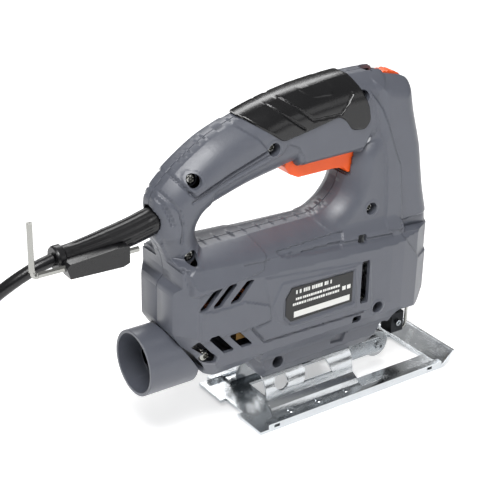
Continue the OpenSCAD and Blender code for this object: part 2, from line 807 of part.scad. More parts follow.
bracket_half = 22;
bracket_low = 54;
bracket_high = 104;
module gear_bracket() {
    color([0.75, 0.76, 0.78]) difference() {
        translate([bracket_x, -bracket_half + seat_gap, bracket_low + seat_gap])
            cube([bracket_t, 2 * bracket_half - 2 * seat_gap,
                bracket_high - bracket_low - 2 * seat_gap]);
        x_rod(bracket_x - 1, bracket_x + bearing_w, 0, motor_z, bearing_r);
        x_rod(bracket_x - 1, bracket_x + bracket_t + 1, 0, motor_z, shaft_r + 2);
        x_rod(bracket_x - 1, bracket_x + bracket_t + 1, 0, crank_z, axle_r);
    }
}

module gear_axle() {
    color(steel) x_rod(bracket_x, gear_x + gear_t - 1, 0, crank_z, axle_r);
}

module crank_gear() {
    color(steel) {
        difference() {
            translate([gear_x, 0, crank_z]) rotate([90, 0, 90])
                linear_extrude(gear_t) gear_outline(gear_teeth, -90 + 180 / gear_teeth);
            x_rod(gear_x - 1, gear_x + gear_t - 0.5, 0, crank_z, axle_r + run_gap);
            for (i = [1 : 5]) translate([0, 0, crank_z]) rotate([60 * i, 0, 0])
                x_rod(gear_x - 1, gear_x + gear_t + 1, stroke / 2, 0, 3);
        }
        x_rod(gear_x + gear_t - eps, gear_x + gear_t + pin_len, stroke / 2, crank_z, pin_r);
    }
}

yoke_half_y = stroke / 2 + pin_r + 2.6;
module plunger() {
    color(steel) {
        translate([0, 0, plunger_bottom]) cylinder(h = plunger_top - plunger_bottom, r = plunger_r);
        difference() {
            translate([yoke_x, -yoke_half_y, crank_z - yoke_half_z])
                cube([-yoke_x - plunger_r + 1, 2 * yoke_half_y, 2 * yoke_half_z]);
            translate([yoke_x + yoke_t, -yoke_half_y - 1, crank_z - yoke_half_z - 1])
                cube([20, yoke_half_y + 1 - 5, 2 * yoke_half_z + 2]);
            translate([yoke_x + yoke_t, 5, crank_z - yoke_half_z - 1])
                cube([20, yoke_half_y, 2 * yoke_half_z + 2]);
            translate([yoke_x - 1, -stroke / 2 - pin_r - 0.4, crank_z - pin_r - 0.4])
                cube([3, stroke + 2 * pin_r + 0.8, 2 * pin_r + 0.8]);
        }
    }
}

module plunger_bushes() {
    color(bronze) for (z = [lower_bush_z, upper_bush_z]) translate([0, 0, z]) difference() {
        cylinder(h = bush_h, r = bush_r);
        translate([0, 0, -1]) cylinder(h = bush_h + 2, r = plunger_r + run_gap);
    }
}

// Blade clamp on the plunger's end, with a slot for the blade's shank
clamp_half = 5;
module blade_clamp() {
    color([0.16, 0.16, 0.17]) difference() {
        translate([-clamp_half, -clamp_half, plunger_bottom - clamp_h])
            cube([2 * clamp_half, 2 * clamp_half, clamp_h]);
        translate([-3.8, -0.75, plunger_bottom - clamp_h - 1]) cube([7.6, 1.5, clamp_h - 1]);
        y_rod(0, -clamp_half - 1, 0, plunger_bottom - 7, 2);
    }
}

module clamp_screws() {
    color(zinc) difference() {
        y_rod(0, -clamp_half - 1.5, -1, plunger_bottom - 7, 1.95);
        translate([0, -clamp_half + 0.5, plunger_bottom - 7]) rotate([90, 0, 0])
            cylinder(h = 3, r = 1.2, $fn = 6);
    }
}

// ---- blade support and guard ---------------------------------------------------------------
arm_t = 1.8;
arm_inner = 3.6;
module bracket_stem(gap) {
    translate([rear + 88 - gap, -arm_inner - arm_t - gap, 24])
        cube([10 + 2 * gap, 2 * (arm_inner + arm_t + gap), 14]);
}

module roller_bracket() {
    color(zinc) difference() {
        union() {
            bracket_stem(0);
            for (side = [-1, 1]) slab(side > 0 ? arm_inner : -arm_inner - arm_t,
                side > 0 ? arm_inner + arm_t : -arm_inner) {
                    translate([rear + 88, 8]) square([roller_x - rear - 88, 18]);
                    translate([roller_x, roller_z]) circle(r = 4.5);
                    translate([roller_x - 6, 8]) square([6, 9]);
                }
        }
        translate([rear + 80, -arm_inner, 0]) cube([60, 2 * arm_inner, 30]);
        y_rod(roller_x, -20, 20, roller_z, roller_pin_r);
        translate([rear + 80, -20, 20]) cube([7, 40, 3]);
        translate([rear + 98, -20, 19]) cube([40, 40, 20]);
    }
}

module support_roller() {
    color(steel) difference() {
        y_rod(roller_x, -2.8, 2.8, roller_z, roller_r);
        y_rod(roller_x, -4, 4, roller_z, roller_pin_r + run_gap);
        // Groove that the blade's back runs in
        translate([roller_x, 0, roller_z]) rotate([90, 0, 0]) rotate_extrude()
            translate([roller_r - 1.2, -0.7]) square([3, 1.4]);
    }
}

module roller_pin() {
    color(steel) difference() {
        union() {
            y_rod(roller_x, -arm_inner - arm_t, arm_inner + arm_t, roller_z, roller_pin_r);
            y_rod(roller_x, -arm_inner - arm_t - 1.6, -arm_inner - arm_t, roller_z, 3.2);
        }
        translate([roller_x, -arm_inner - arm_t - 0.5, roller_z]) rotate([90, 0, 0])
            cylinder(h = 3, r = 1.5, $fn = 6);
    }
}

guard_wire_r = 1;
guard_x = 7;
guard_half = 4.8;
guard_low = 18;
guard_high = 62;
module guard_shape(r) {
    for (side = [-1, 1]) translate([guard_x, side * guard_half, guard_low + guard_half])
        cylinder(h = guard_high - guard_low - guard_half, r = r);
    translate([guard_x, 0, guard_low + guard_half]) rotate([90, 0, 90])
        rotate_extrude(angle = 180, start = 180) translate([guard_half, 0]) circle(r = r);
}

module guard_wire() { color(zinc) guard_shape(guard_wire_r - 0.02); }

// ---- base ----------------------------------------------------------------------------------
front = rear + sole_len;
sole_half = sole_w / 2;
window_from = 26;
window_to = 140;
lip = 5;
module sole_outline() {
    difference() {
        translate([rear, -sole_half]) square([sole_len, sole_w]);
        translate([rear + window_from, -window_w / 2])
            square([window_to - window_from, window_w]);
        // Stepped notch in the rear edge
        translate([rear - 1, -9]) square([5, 18]);
    }
}

module base_plate() {
    lean = 42;
    color(zinc) {
        difference() {
            linear_extrude(sole_t) sole_outline();
            rivets(0);
        }
        // Front flange, leaning forwards
        slab(-sole_half, sole_half)
            polygon([[front - sole_t, 0], [front, 0],
                [front + flange_h * tan(lean), flange_h],
                [front + flange_h * tan(lean) - sole_t, flange_h], [front - sole_t, sole_t]]);
        // Beads along both sides
        for (side = [-1, 1]) translate([rear + 6, side * (sole_half - 2) - 2, 0])
            difference() {
                cube([sole_len - 8, 4, lip]);
                translate([4, -1, sole_t]) cube([4, 6, 1.8]);
                translate([sole_len - 20, -1, sole_t]) cube([4, 6, 1.8]);
            }
    }
}

cradle_x = rear + 16;
foot_out = sole_half - 4.5;
rivet_r = 1.6;
rivet_y = foot_out - 3;

// Foot and flank of the cradle's sheet on one side (side = 1 or -1), lowered by drop
function cradle_side(drop, side) = [[side * foot_out, sole_t - 1],
    [side * foot_out, sole_t + cradle_t - drop], [side * (foot_out - 6), sole_t + cradle_t - drop],
    [side * (dome_r + 5 - drop / 2), sole_t + 4.4 - drop],
    [side * (dome_r + 0.6 - drop), bevel_z - 3.5]];

// One closed outline: right foot, dome, left foot
module cradle_profile(drop) {
    left = cradle_side(drop, -1);
    polygon(concat(cradle_side(drop, 1),
        [for (a = [0 : 7.5 : 180]) [(dome_r - drop) * cos(a), bevel_z + (dome_r - drop) * sin(a)]],
        [for (i = [len(left) - 1 : -1 : 0]) left[i]]));
}

module base_cradle() {
    color(zinc) difference() {
        intersection() {
            along(cradle_x, cradle_x + cradle_len) cradle_profile(0);
            translate([cradle_x, -sole_half, sole_t]) cube([cradle_len, sole_w, 40]);
        }
        along(cradle_x - 1, cradle_x + cradle_len + 1) cradle_profile(cradle_t);
        // Slot for the bevel bolt
        translate([bolt_x - bolt_r - 0.8, -13, 19]) cube([2 * bolt_r + 1.6, 26, 20]);
        // Round and trapezoid windows in both sides
        for (side = [-1, 1]) {
            y_rod(cradle_x + 12, side > 0 ? 8 : -40, side > 0 ? 40 : -8, 18, 5);
            slab(side > 0 ? 8 : -40, side > 0 ? 40 : -8)
                polygon([[cradle_x + 28, 13], [cradle_x + 50, 13], [cradle_x + 47, 22],
                    [cradle_x + 31, 22]]);
        }
        rivets(0);
    }
}

// Rivets through the cradle's feet and the sole
module rivets(head) {
    for (side = [-1, 1], i = [0 : 2]) translate([cradle_x + 12 + 21 * i, side * rivet_y, 0]) {
        translate([0, 0, 0.3]) cylinder(h = sole_t + cradle_t - 0.3, r = rivet_r);
        if (head > 0) translate([0, 0, sole_t + cradle_t]) cylinder(h = head, r = 2.5);
    }
}

module cradle_rivets() { color(steel) rivets(0.9); }

clamp_z = bevel_z + sqrt(pow(dome_r - cradle_t - slide_gap, 2) - 36);
module bevel_clamp_plate() {
    color(steel) difference() {
        intersection() {
            x_rod(bolt_x - 9, bolt_x + 9, 0, bevel_z, dome_r - cradle_t - slide_gap);
            translate([bolt_x - 9, -6, clamp_z - 2]) cube([18, 12, 20]);
        }
        translate([bolt_x, 0, 0]) cylinder(h = 40, r = bolt_r + seat_gap);
    }
}

bolt_head_h = 4;
module bevel_bolt() {
    top = 39;
    color(zinc) difference() {
        union() {
            translate([bolt_x, 0, clamp_z - 2 - bolt_head_h]) cylinder(h = bolt_head_h, r = 4.6);
            translate([bolt_x, 0, clamp_z - 2]) cylinder(h = top - clamp_z + 2, r = bolt_r);
        }
        translate([bolt_x, 0, clamp_z - 2 - bolt_head_h - 1]) cylinder(h = 3.4, r = key_r + 0.1, $fn = 6);
    }
}

module bevel_nut() {
    color(zinc) translate([bolt_x, 0, 33.4]) difference() {
        rotate(30) cylinder(h = 4, r = nut_r, $fn = 6);
        translate([0, 0, -1]) cylinder(h = 6, r = bolt_r);
    }
}

module housing_screws() {
    color([0.12, 0.12, 0.13]) for (s = shell_screws) difference() {
        union() {
            y_rod(s[0] + rear, -s[2] - screw_head_h, -s[2], s[1], screw_head_r);
            y_rod(s[0] + rear, -s[2], s[2] - 1, s[1], screw_r);
        }
        for (turn = [0, 90]) translate([s[0] + rear, -s[2] - screw_head_h, s[1]])
            rotate([0, turn, 0]) cube([4, 2.4, 0.9], center = true);
    }
}

housing_right();
housing_left();
grip_right();
grip_left();
dust_port();
cord_sheath();
power_cord();
cord_coil();
cord_tail();
cord_tie();
plug_body();
plug_pins();
key_holder();
hex_key();
rating_label();
trigger();
trigger_pin();
trigger_spring();
lock_button();
lock_spring();
speed_dial();
switch_module();
dial_board();
cord_clamp();
cord_clamp_screws();
capacitor();
stator_core();
field_coils();
armature_shaft();
armature_core();
armature_winding();
commutator();
cooling_fan();
front_bearing();
rear_bearing();
brush_holders();
carbon_brushes();
brush_springs();
gear_bracket();
gear_axle();
crank_gear();
plunger();
plunger_bushes();
blade_clamp();
clamp_screws();
roller_bracket();
support_roller();
roller_pin();
guard_wire();
base_plate();
base_cradle();
cradle_rivets();
bevel_bolt();
bevel_clamp_plate();
bevel_nut();
housing_screws();
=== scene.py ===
# %% [markdown]
# A corded jigsaw, taken apart into its real pieces. The imported model gives every piece its place and
# its motion, and this lesson gives each of them the surface and the finish of the real tool. All
# lengths are metres in one frame: X is the cutting direction, Z is up, and the blade line meets the
# sole's underside at the origin.

# %% The frame
import json
import math
import random
import bpy
import bmesh
import numpy as np
from mathutils import Matrix, Vector

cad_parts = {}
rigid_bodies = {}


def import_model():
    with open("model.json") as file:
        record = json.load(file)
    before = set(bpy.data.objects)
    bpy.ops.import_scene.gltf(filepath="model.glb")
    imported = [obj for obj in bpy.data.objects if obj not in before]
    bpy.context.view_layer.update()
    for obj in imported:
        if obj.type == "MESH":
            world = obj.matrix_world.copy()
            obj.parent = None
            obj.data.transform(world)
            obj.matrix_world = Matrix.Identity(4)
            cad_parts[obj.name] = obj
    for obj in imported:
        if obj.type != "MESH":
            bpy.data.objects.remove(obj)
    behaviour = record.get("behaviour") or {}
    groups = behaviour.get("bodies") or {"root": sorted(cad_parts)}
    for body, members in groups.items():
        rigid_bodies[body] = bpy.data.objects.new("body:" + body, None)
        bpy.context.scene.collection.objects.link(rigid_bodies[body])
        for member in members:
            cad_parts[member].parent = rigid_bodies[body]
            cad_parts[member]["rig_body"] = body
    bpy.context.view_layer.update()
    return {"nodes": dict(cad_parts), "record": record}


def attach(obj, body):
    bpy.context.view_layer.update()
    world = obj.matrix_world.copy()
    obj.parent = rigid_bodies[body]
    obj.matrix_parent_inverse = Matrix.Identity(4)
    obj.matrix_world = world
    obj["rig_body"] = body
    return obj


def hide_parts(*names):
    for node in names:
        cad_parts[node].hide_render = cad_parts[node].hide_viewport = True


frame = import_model()
NODES = frame["nodes"]
MM = 0.001
REAR = -127.0                      # the sole's rear edge; side outlines count X from here

# %% [markdown]
# The camera stands above and behind the tool's right side, about three quarters of a metre away,
# which keeps the near corner of the sole only slightly larger than the far one. It has a small roll, as a
# hand-held camera has. Its place is worked out from a bearing, a height angle and a distance.

# %% Camera
def aim_camera(azimuth, elevation, roll, distance, target, lens):
    a, e, r = (math.radians(v) for v in (azimuth, elevation, roll))
    back = Vector((math.sin(a) * math.cos(e), -math.cos(a) * math.cos(e), math.sin(e)))
    right = Vector((math.cos(a), math.sin(a), 0))
    up = back.cross(right)
    turned = (math.cos(r) * right + math.sin(r) * up, math.cos(r) * up - math.sin(r) * right, back)
    data = bpy.data.cameras.new("camera")
    data.lens, data.sensor_width, data.clip_start = lens, 36.0, 0.05
    cam = bpy.data.objects.new("camera", data)
    bpy.context.scene.collection.objects.link(cam)
    place = Matrix.Translation(Vector(target) + distance * back)
    cam.matrix_world = place @ Matrix(turned).transposed().to_4x4()
    bpy.context.scene.camera = cam
    return cam

camera = aim_camera(-35.64, 25.61, 1.41, 0.7553, (-0.1142, 0.0, 0.1037), 94.70)
print("camera at", [round(v, 3) for v in camera.matrix_world.translation])

# %% [markdown]
# Every material is a small tree of nodes. One helper adds a node with its settings and its inputs,
# and one function turns the sRGB colours that a maker would quote into the linear ones that the
# shader wants.

# %% Node and colour helpers
def linear(hex_colour, alpha=1.0):
    parts = [int(hex_colour[i:i + 2], 16) / 255 for i in (1, 3, 5)]
    return tuple(c / 12.92 if c <= 0.04045 else ((c + 0.055) / 1.055) ** 2.4 for c in parts) + (alpha,)

def add(tree, kind, settings=None, inputs=None):
    node = tree.nodes.new(kind)
    for key, value in (settings or {}).items():
        setattr(node, key, value)
    for key, value in (inputs or {}).items():
        if isinstance(value, bpy.types.NodeSocket):
            tree.links.new(value, node.inputs[key])
        else:
            node.inputs[key].default_value = value
    return node

def start_material(name, colour, metallic, roughness, **sockets):
    mat = bpy.data.materials.new(name)
    mat.use_nodes = True
    shader = mat.node_tree.nodes["Principled BSDF"]
    base = {"Base Color": linear(colour), "Metallic": metallic, "Roughness": roughness}
    for key, value in {**base, **sockets}.items():
        shader.inputs[key].default_value = value
    mat.diffuse_color = linear(colour)
    return mat, mat.node_tree, shader

# %% [markdown]
# Most finishes share three layers: a slow drift of colour, a slow drift of gloss, and a fine relief.
# The sizes are given in millimetres and turned into a noise scale. Grain under half a millimetre is
# drawn coarser than it is, because a render of the whole tool can't show it.

# %% One surface recipe for the many moulded, cast and plated pieces
def surface(name, colour, dark, metallic, roughness, spread, grain_mm, relief,
            drift_mm=14.0, stretch=(1, 1, 1), **sockets):
    mat, tree, shader = start_material(name, colour, metallic, roughness, **sockets)
    place = add(tree, "ShaderNodeTexCoord").outputs["Object"]
    along = add(tree, "ShaderNodeMapping", inputs={"Vector": place, "Scale": stretch}).outputs["Vector"]
    drift = add(tree, "ShaderNodeTexNoise",
                inputs={"Vector": place, "Scale": 1000 / drift_mm, "Detail": 4.0, "Roughness": 0.6})
    grain = add(tree, "ShaderNodeTexNoise",
                inputs={"Vector": along, "Scale": 1000 / grain_mm, "Detail": 2.0, "Roughness": 0.5})
    tint = add(tree, "ShaderNodeMix", {"data_type": "RGBA"},
               {"Factor": drift.outputs["Fac"], "A": linear(dark), "B": linear(colour)})
    tree.links.new(tint.outputs["Result"], shader.inputs["Base Color"])
    gloss = add(tree, "ShaderNodeMapRange",
                inputs={"Value": drift.outputs["Fac"], "From Min": 0.3, "From Max": 0.7,
                        "To Min": roughness - spread, "To Max": roughness + spread})
    tree.links.new(gloss.outputs["Result"], shader.inputs["Roughness"])
    bump = add(tree, "ShaderNodeBump",
               inputs={"Height": grain.outputs["Fac"], "Strength": relief, "Distance": 0.0002})
    tree.links.new(bump.outputs["Normal"], shader.inputs["Normal"])
    return mat

# %% Moulded, rubber and plated finishes
# Glass-filled nylon, spark-eroded mould: a blue-grey satin with a fine even grain
shell_nylon = surface("grey_glass_filled_nylon", "#5d6069", "#52555e", 0.0, 0.38, 0.05, 0.7, 0.30, IOR=1.53)
# Thermoplastic elastomer, moulded: near black with a soft sheen
grip_elastomer = surface("black_grip_elastomer", "#0e0e10", "#08080a", 0.0, 0.24, 0.05, 0.9, 0.35, IOR=1.50)
# PVC cord rubber: satin black, with a slight drift of gloss
cord_rubber = surface("black_cord_rubber", "#101013", "#09090b", 0.0, 0.30, 0.06, 0.8, 0.25, IOR=1.50)
# Acetal in signal orange: saturated, waxy, with a few lighter cores
orange_acetal = surface("orange_acetal", "#ff6210", "#ee5206", 0.0, 0.36, 0.04, 1.2, 0.12, IOR=1.48)
# Bright zinc plate on pressed steel: silver with faint clouding from the bath
zinc_plate = surface("bright_zinc_plated_steel", "#d3d6d8", "#bfc3c7", 1.0, 0.22, 0.08, 1.1, 0.22, drift_mm=9.0)
# Ground tool steel: fine lines round the work, darker than zinc
tool_steel = surface("ground_tool_steel", "#b4b6b8", "#9c9fa2", 1.0, 0.27, 0.05, 0.6, 0.25, stretch=(1, 1, 0.12))
# Black oxide on steel: near black, oily
black_oxide = surface("black_oxide_steel", "#2a2b2e", "#1d1e20", 1.0, 0.36, 0.07, 0.9, 0.25)
# Nickel plate: neutral silver, almost mirror
nickel_plate = surface("nickel_plated_steel", "#a9a9a8", "#96968f", 1.0, 0.20, 0.04, 1.5, 0.10)
# Die-cast aluminium: pale and granular
die_cast = surface("die_cast_aluminium", "#b5b7ba", "#9b9ea2", 1.0, 0.50, 0.08, 1.4, 0.70)
# Sintered bronze, oil filled
sintered_bronze = surface("sintered_bronze", "#7a6038", "#5f4a2a", 1.0, 0.52, 0.06, 0.8, 0.60)
# Pressed carbon of the brushes
brush_carbon = surface("pressed_carbon", "#2b2b2c", "#1c1c1d", 0.0, 0.62, 0.05, 0.7, 0.50)
# Phenolic and nylon of the inner black pieces
black_nylon = surface("black_nylon", "#1d1e20", "#141416", 0.0, 0.42, 0.06, 0.9, 0.30, IOR=1.53)
# Natural nylon of the fan
white_nylon = surface("natural_nylon", "#dcd9cf", "#cfcbbf", 0.0, 0.44, 0.05, 1.0, 0.20, IOR=1.53)
# Polyester film wrapped round the capacitor
yellow_film = surface("yellow_polyester_film", "#d9b53a", "#c9a42c", 0.0, 0.30, 0.05, 2.0, 0.15, IOR=1.58)
# Label film: black, half matt
label_film = surface("black_label_film", "#101012", "#0b0b0c", 0.0, 0.38, 0.04, 1.0, 0.08, IOR=1.50)
# White ink screened on the label
label_ink = surface("white_screen_ink", "#e9e9e6", "#dededb", 0.0, 0.50, 0.04, 0.8, 0.10, IOR=1.50)
print("surfaces:", len(bpy.data.materials))

# %% [markdown]
# Stacked laminations, wound wire and a printed board have lines at a real pitch, so they get a
# stripe on top of the plain recipe. The 0.5 mm iron sheets and the 0.4 mm wire are drawn at 1 mm.

# %% Striped finishes
def striped(name, colour, gap_colour, metallic, roughness, pitch_mm, axis):
    mat, tree, shader = start_material(name, colour, metallic, roughness)
    place = add(tree, "ShaderNodeTexCoord").outputs["Object"]
    lines = add(tree, "ShaderNodeTexWave", {"wave_type": "BANDS", "bands_direction": axis},
                {"Vector": place, "Scale": 1000 / pitch_mm / 20 * math.pi, "Distortion": 0.3, "Detail": 1.0})
    tint = add(tree, "ShaderNodeMix", {"data_type": "RGBA"},
               {"Factor": lines.outputs["Fac"], "A": linear(gap_colour), "B": linear(colour)})
    tree.links.new(tint.outputs["Result"], shader.inputs["Base Color"])
    bump = add(tree, "ShaderNodeBump",
               inputs={"Height": lines.outputs["Fac"], "Strength": 0.6, "Distance": 0.0003})
    tree.links.new(bump.outputs["Normal"], shader.inputs["Normal"])
    return mat

# Varnished iron sheets, stacked along the shaft
laminations = striped("varnished_laminations", "#6c6a68", "#2e2b29", 1.0, 0.45, 1.0, "X")
# Enamelled copper wire
enamelled_copper = striped("enamelled_copper_wire", "#b8632c", "#6a3214", 1.0, 0.32, 1.0, "Z")
# Glass-epoxy board with copper tracks under green resist
resist_board = striped("green_resist_board", "#1f5a34", "#17452a", 0.0, 0.35, 2.5, "X")

FINISH = {
    "shell_plastic": shell_nylon, "grip_rubber": grip_elastomer, "orange_plastic": orange_acetal,
    "cord_rubber": cord_rubber, "zinc_steel": zinc_plate, "tool_steel": tool_steel, "black_steel": black_oxide,
    "nickel_steel": nickel_plate, "cast_alloy": die_cast, "lamination": laminations, "copper": enamelled_copper,
    "bronze": sintered_bronze, "carbon": brush_carbon, "black_plastic": black_nylon, "white_plastic": white_nylon,
    "board": resist_board, "yellow_film": yellow_film, "label_film": label_film,
}
SLOT = {row["node"]: row["material_slot"] for row in frame["record"]["subparts"]}
for name, node in NODES.items():
    node.data.materials.clear()
    node.data.materials.append(FINISH[SLOT[name]])
print("finishes for", len(SLOT), "nodes from", len(FINISH), "slots")

# %% [markdown]
# Two helpers finish every new piece: one hangs a mesh in the scene on its body with its slot, and
# one gives a sharp-edged CAD shape the small radius that pressing or moulding leaves.

# %% Piece helpers
def body_of_node(name):
    return NODES[name]["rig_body"]

def hang(name, mesh, body, slot, material=None, replaced=(), smooth_deg=38):
    obj = bpy.data.objects.new(name, mesh)
    bpy.context.scene.collection.objects.link(obj)
    mesh.materials.clear()
    mesh.materials.append(material or FINISH[slot])
    if smooth_deg:
        mesh.shade_smooth()
        mesh.set_sharp_from_angle(angle=math.radians(smooth_deg))
    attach(obj, body)
    if replaced:
        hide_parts(*replaced)
    return obj

def merged_copy(node_name):
    build = bmesh.new()
    build.from_mesh(NODES[node_name].data)
    bmesh.ops.remove_doubles(build, verts=build.verts, dist=2e-6)
    bmesh.ops.dissolve_limit(build, angle_limit=math.radians(0.8), verts=build.verts, edges=build.edges)
    return build

def softened(node_name, radius_mm, segments=2, material=None, angle_deg=28):
    build = merged_copy(node_name)
    mesh = bpy.data.meshes.new(node_name + "_soft")
    build.to_mesh(mesh)
    build.free()
    body = body_of_node(node_name)
    obj = hang(node_name + "_finished", mesh, body, SLOT[node_name], material, (node_name,))
    edge = obj.modifiers.new("pressed edge", "BEVEL")
    edge.width, edge.segments, edge.limit_method = radius_mm * MM, segments, "ANGLE"
    edge.angle_limit, edge.harden_normals, edge.use_clamp_overlap = math.radians(angle_deg), True, True
    return obj

# %% [markdown]
# The cord comes first, because it decides how far the tool spreads. It leaves the sheath, drops
# past the dust port and lies down in a coil of two layers of three turns behind the saw, held by a
# strap, and ends in its plug. A tube swept along the points has the true length and no kinks.

# %% The cord's way
CORD_D = 0.007
DROP = [(-239, 0, 130.5), (-250, 0.5, 127.5), (-262, 3, 121), (-273, 8, 111), (-281, 14, 97), (-286, 19, 80),
        (-289, 22.5, 62), (-293, 25, 45), (-300, 27.5, 29), (-311, 29.3, 15), (-324, 30, 6.5), (-338, 30, 4.1),
        (-353, 29.3, 4.1)]
TAIL = [(-379.5, 25.6, 17), (-391.6, 13.5, 18.1), (-396, -3, 18.1), (-391.6, -19.5, 19), (-379.5, -31.6, 22),
        (-363, -36, 26), (-356, -36, 26.6)]
COIL_X, COIL_Y = -363.0, -12.0

def spiral(r0, r1, z0, z1, a0, turns, steps):
    out = []
    for i in range(steps + 1):
        t = i / steps
        a = a0 + 2 * math.pi * turns * t
        r = r0 + (r1 - r0) * t
        out.append((COIL_X + r * math.cos(a), COIL_Y + r * math.sin(a), z0 + (z1 - z0) * t))
    return out

def resampled(points, step):
    """Even points on a smooth line through the given ones."""
    p = np.array(points, float)
    t = np.concatenate(([0], np.cumsum(np.linalg.norm(np.diff(p, axis=0), axis=1) ** 0.5)))
    m = np.gradient(p, t, axis=0)
    fine = []
    for i in range(len(p) - 1):
        h = t[i + 1] - t[i]
        for s in np.linspace(0, 1, 12, endpoint=False):
            fine.append((2 * s**3 - 3 * s**2 + 1) * p[i] + (s**3 - 2 * s**2 + s) * h * m[i]
                        + (3 * s**2 - 2 * s**3) * p[i + 1] + (s**3 - s**2) * h * m[i + 1])
    fine = np.array(fine + [p[-1]])
    run = np.concatenate(([0], np.cumsum(np.linalg.norm(np.diff(fine, axis=0), axis=1))))
    want = np.linspace(0, run[-1], max(3, int(run[-1] / step)))
    return np.column_stack([np.interp(want, run, fine[:, k]) for k in range(3)])

QUARTER = math.pi / 2
lower = spiral(42, 28, 4.1, 4.1, QUARTER, 2.5, 80)
climb = spiral(28, 28, 4.1, 11.1, QUARTER + math.pi, 0.5, 16)
upper = spiral(28, 42, 11.1, 11.4, QUARTER, 3.0, 96)
route = resampled(DROP + lower[3::3] + climb[2::3] + upper[1::3] + TAIL, 2.5)

# %% Tube along a way
def tube_mesh(name, way, radii, sides=16, caps=True):
    """A tube along the way; each radius is one number, or one for every side."""
    way = np.asarray(way, float)
    heading = np.gradient(way, axis=0)
    heading /= np.linalg.norm(heading, axis=1)[:, None]
    side = np.cross(heading[0], (0, 1, 0.07))
    turns = np.linspace(0, 2 * math.pi, sides, endpoint=False)
    build = bmesh.new()
    rings = []
    for p, h, r in zip(way, heading, radii):
        side = side - h * side.dot(h)
        side /= np.linalg.norm(side)
        up = np.cross(side, h)
        rings.append([build.verts.new(tuple((p + reach * (math.cos(a) * side + math.sin(a) * up)) * MM))
                      for a, reach in zip(turns, np.broadcast_to(r, sides))])
    for one, two in zip(rings, rings[1:]):
        for k in range(sides):
            build.faces.new((one[k], one[(k + 1) % sides], two[(k + 1) % sides], two[k]))
    if caps:
        build.faces.new(rings[0])
        build.faces.new(rings[-1][::-1])
    bmesh.ops.recalc_face_normals(build, faces=build.faces)
    mesh = bpy.data.meshes.new(name)
    build.to_mesh(mesh)
    build.free()
    return mesh

cord_radius = CORD_D / MM / 2
cord_tube = tube_mesh("mains_cord", route, [cord_radius] * len(route), 12)
cord = hang("mains_cord", cord_tube, "root", "cord_rubber",
            replaced=("power_cord", "cord_coil", "cord_tail"), smooth_deg=60)
plug = softened("plug_body", 2.2, 4)
tie = softened("cord_tie", 0.2, 1)
print("cord triangles", len(cord.data.polygons) * 2)

# %% [markdown]
# The two housing halves are injection moulded nylon. Seen from the side, a shell is a height field:
# at every point of its outline it stands a certain distance out from the parting plane. So the
# shape is written as a function of X and Z that joins the motor body, the shoulder, the D-handle,
# the front column and the foot with small fillets, and then adds the moulded panels and grooves.
# A half millimetre of noise in such a surface shows at once in a highlight, so all is smooth.

# %% Distances to outlines, in millimetres
def rounded_outline(points, radius):
    out = []
    n = len(points)
    p = [np.array(q, float) for q in points]
    for i in range(n):
        a, b, c = p[i - 1], p[i], p[(i + 1) % n]
        ra = min(radius, 0.45 * np.linalg.norm(a - b))
        rc = min(radius, 0.45 * np.linalg.norm(c - b))
        start, end = b + (a - b) / np.linalg.norm(a - b) * ra, b + (c - b) / np.linalg.norm(c - b) * rc
        for t in (0.0, 0.25, 0.5, 0.75, 1.0):
            out.append((1 - t) ** 2 * start + 2 * t * (1 - t) * b + t * t * end)
    return np.array(out)

def inside_distance(outline, u, z):
    """Distance to a closed outline, positive inside it."""
    best = np.full(u.shape, 1e9)
    odd = np.zeros(u.shape, bool)
    for (x0, z0), (x1, z1) in zip(outline, np.roll(outline, -1, axis=0)):
        dx, dz = x1 - x0, z1 - z0
        t = np.clip(((u - x0) * dx + (z - z0) * dz) / (dx * dx + dz * dz + 1e-12), 0, 1)
        best = np.minimum(best, (u - x0 - t * dx) ** 2 + (z - z0 - t * dz) ** 2)
        if dz:
            odd ^= ((z0 > z) != (z1 > z)) & (u < x0 + (z - z0) * dx / dz)
    return np.where(odd, 1, -1) * np.sqrt(best)

def line_distance(points, u, z):
    best = np.full(u.shape, 1e9)
    for (x0, z0), (x1, z1) in zip(points, points[1:]):
        dx, dz = x1 - x0, z1 - z0
        t = np.clip(((u - x0) * dx + (z - z0) * dz) / (dx * dx + dz * dz), 0, 1)
        best = np.minimum(best, (u - x0 - t * dx) ** 2 + (z - z0 - t * dz) ** 2)
    return np.sqrt(best)

def step(distance, width):
    t = np.clip(distance / width + 0.5, 0, 1)
    return t * t * (3 - 2 * t)

def joined(a, b, fillet):
    h = np.clip(0.5 + 0.5 * (a - b) / fillet, 0, 1)
    return b * (1 - h) + a * h + fillet * h * (1 - h)

BODY = rounded_outline([(-50, 74), (-50, 100), (-46, 104), (-38, 106), (118, 106), (130, 104.5), (139.5, 103),
                        (140.5, 85), (141.5, 78), (141.5, 60), (138, 55), (127, 47), (112, 48), (96, 50), (2, 50),
                        (-4, 46), (-31, 44), (-34, 49), (-42, 62)], 3)
HANDLE = rounded_outline([(-46, 94), (-46, 112), (-50, 124), (-54, 129), (-55, 150), (-51, 157), (-42, 165.5),
                          (-33, 172), (-21, 179.5), (-7, 185), (10, 190.5), (24, 194), (37, 196.5), (51, 198),
                          (65, 199.5), (76, 200), (100, 200), (100, 155), (78, 155), (40, 154.5), (31, 153.5), (17, 151),
                          (3, 148), (-10, 144), (-18, 141.5), (-24, 138.5), (-28, 133), (-29, 127), (-26, 119),
                          (-24, 94)], 6)
COLUMN = rounded_outline([(50, 102), (50, 118), (58, 119.5), (66, 124), (72, 131), (75, 140), (76, 150), (78, 157),
                          (85.5, 164), (85.5, 199), (94, 198), (115, 193), (119, 189), (122, 175), (129, 152),
                          (134, 124), (139.5, 103), (139.5, 92), (50, 92)], 4)
SHOULDER = rounded_outline([(-45, 96), (-45, 118), (96, 118), (110, 106), (110, 96)], 3)
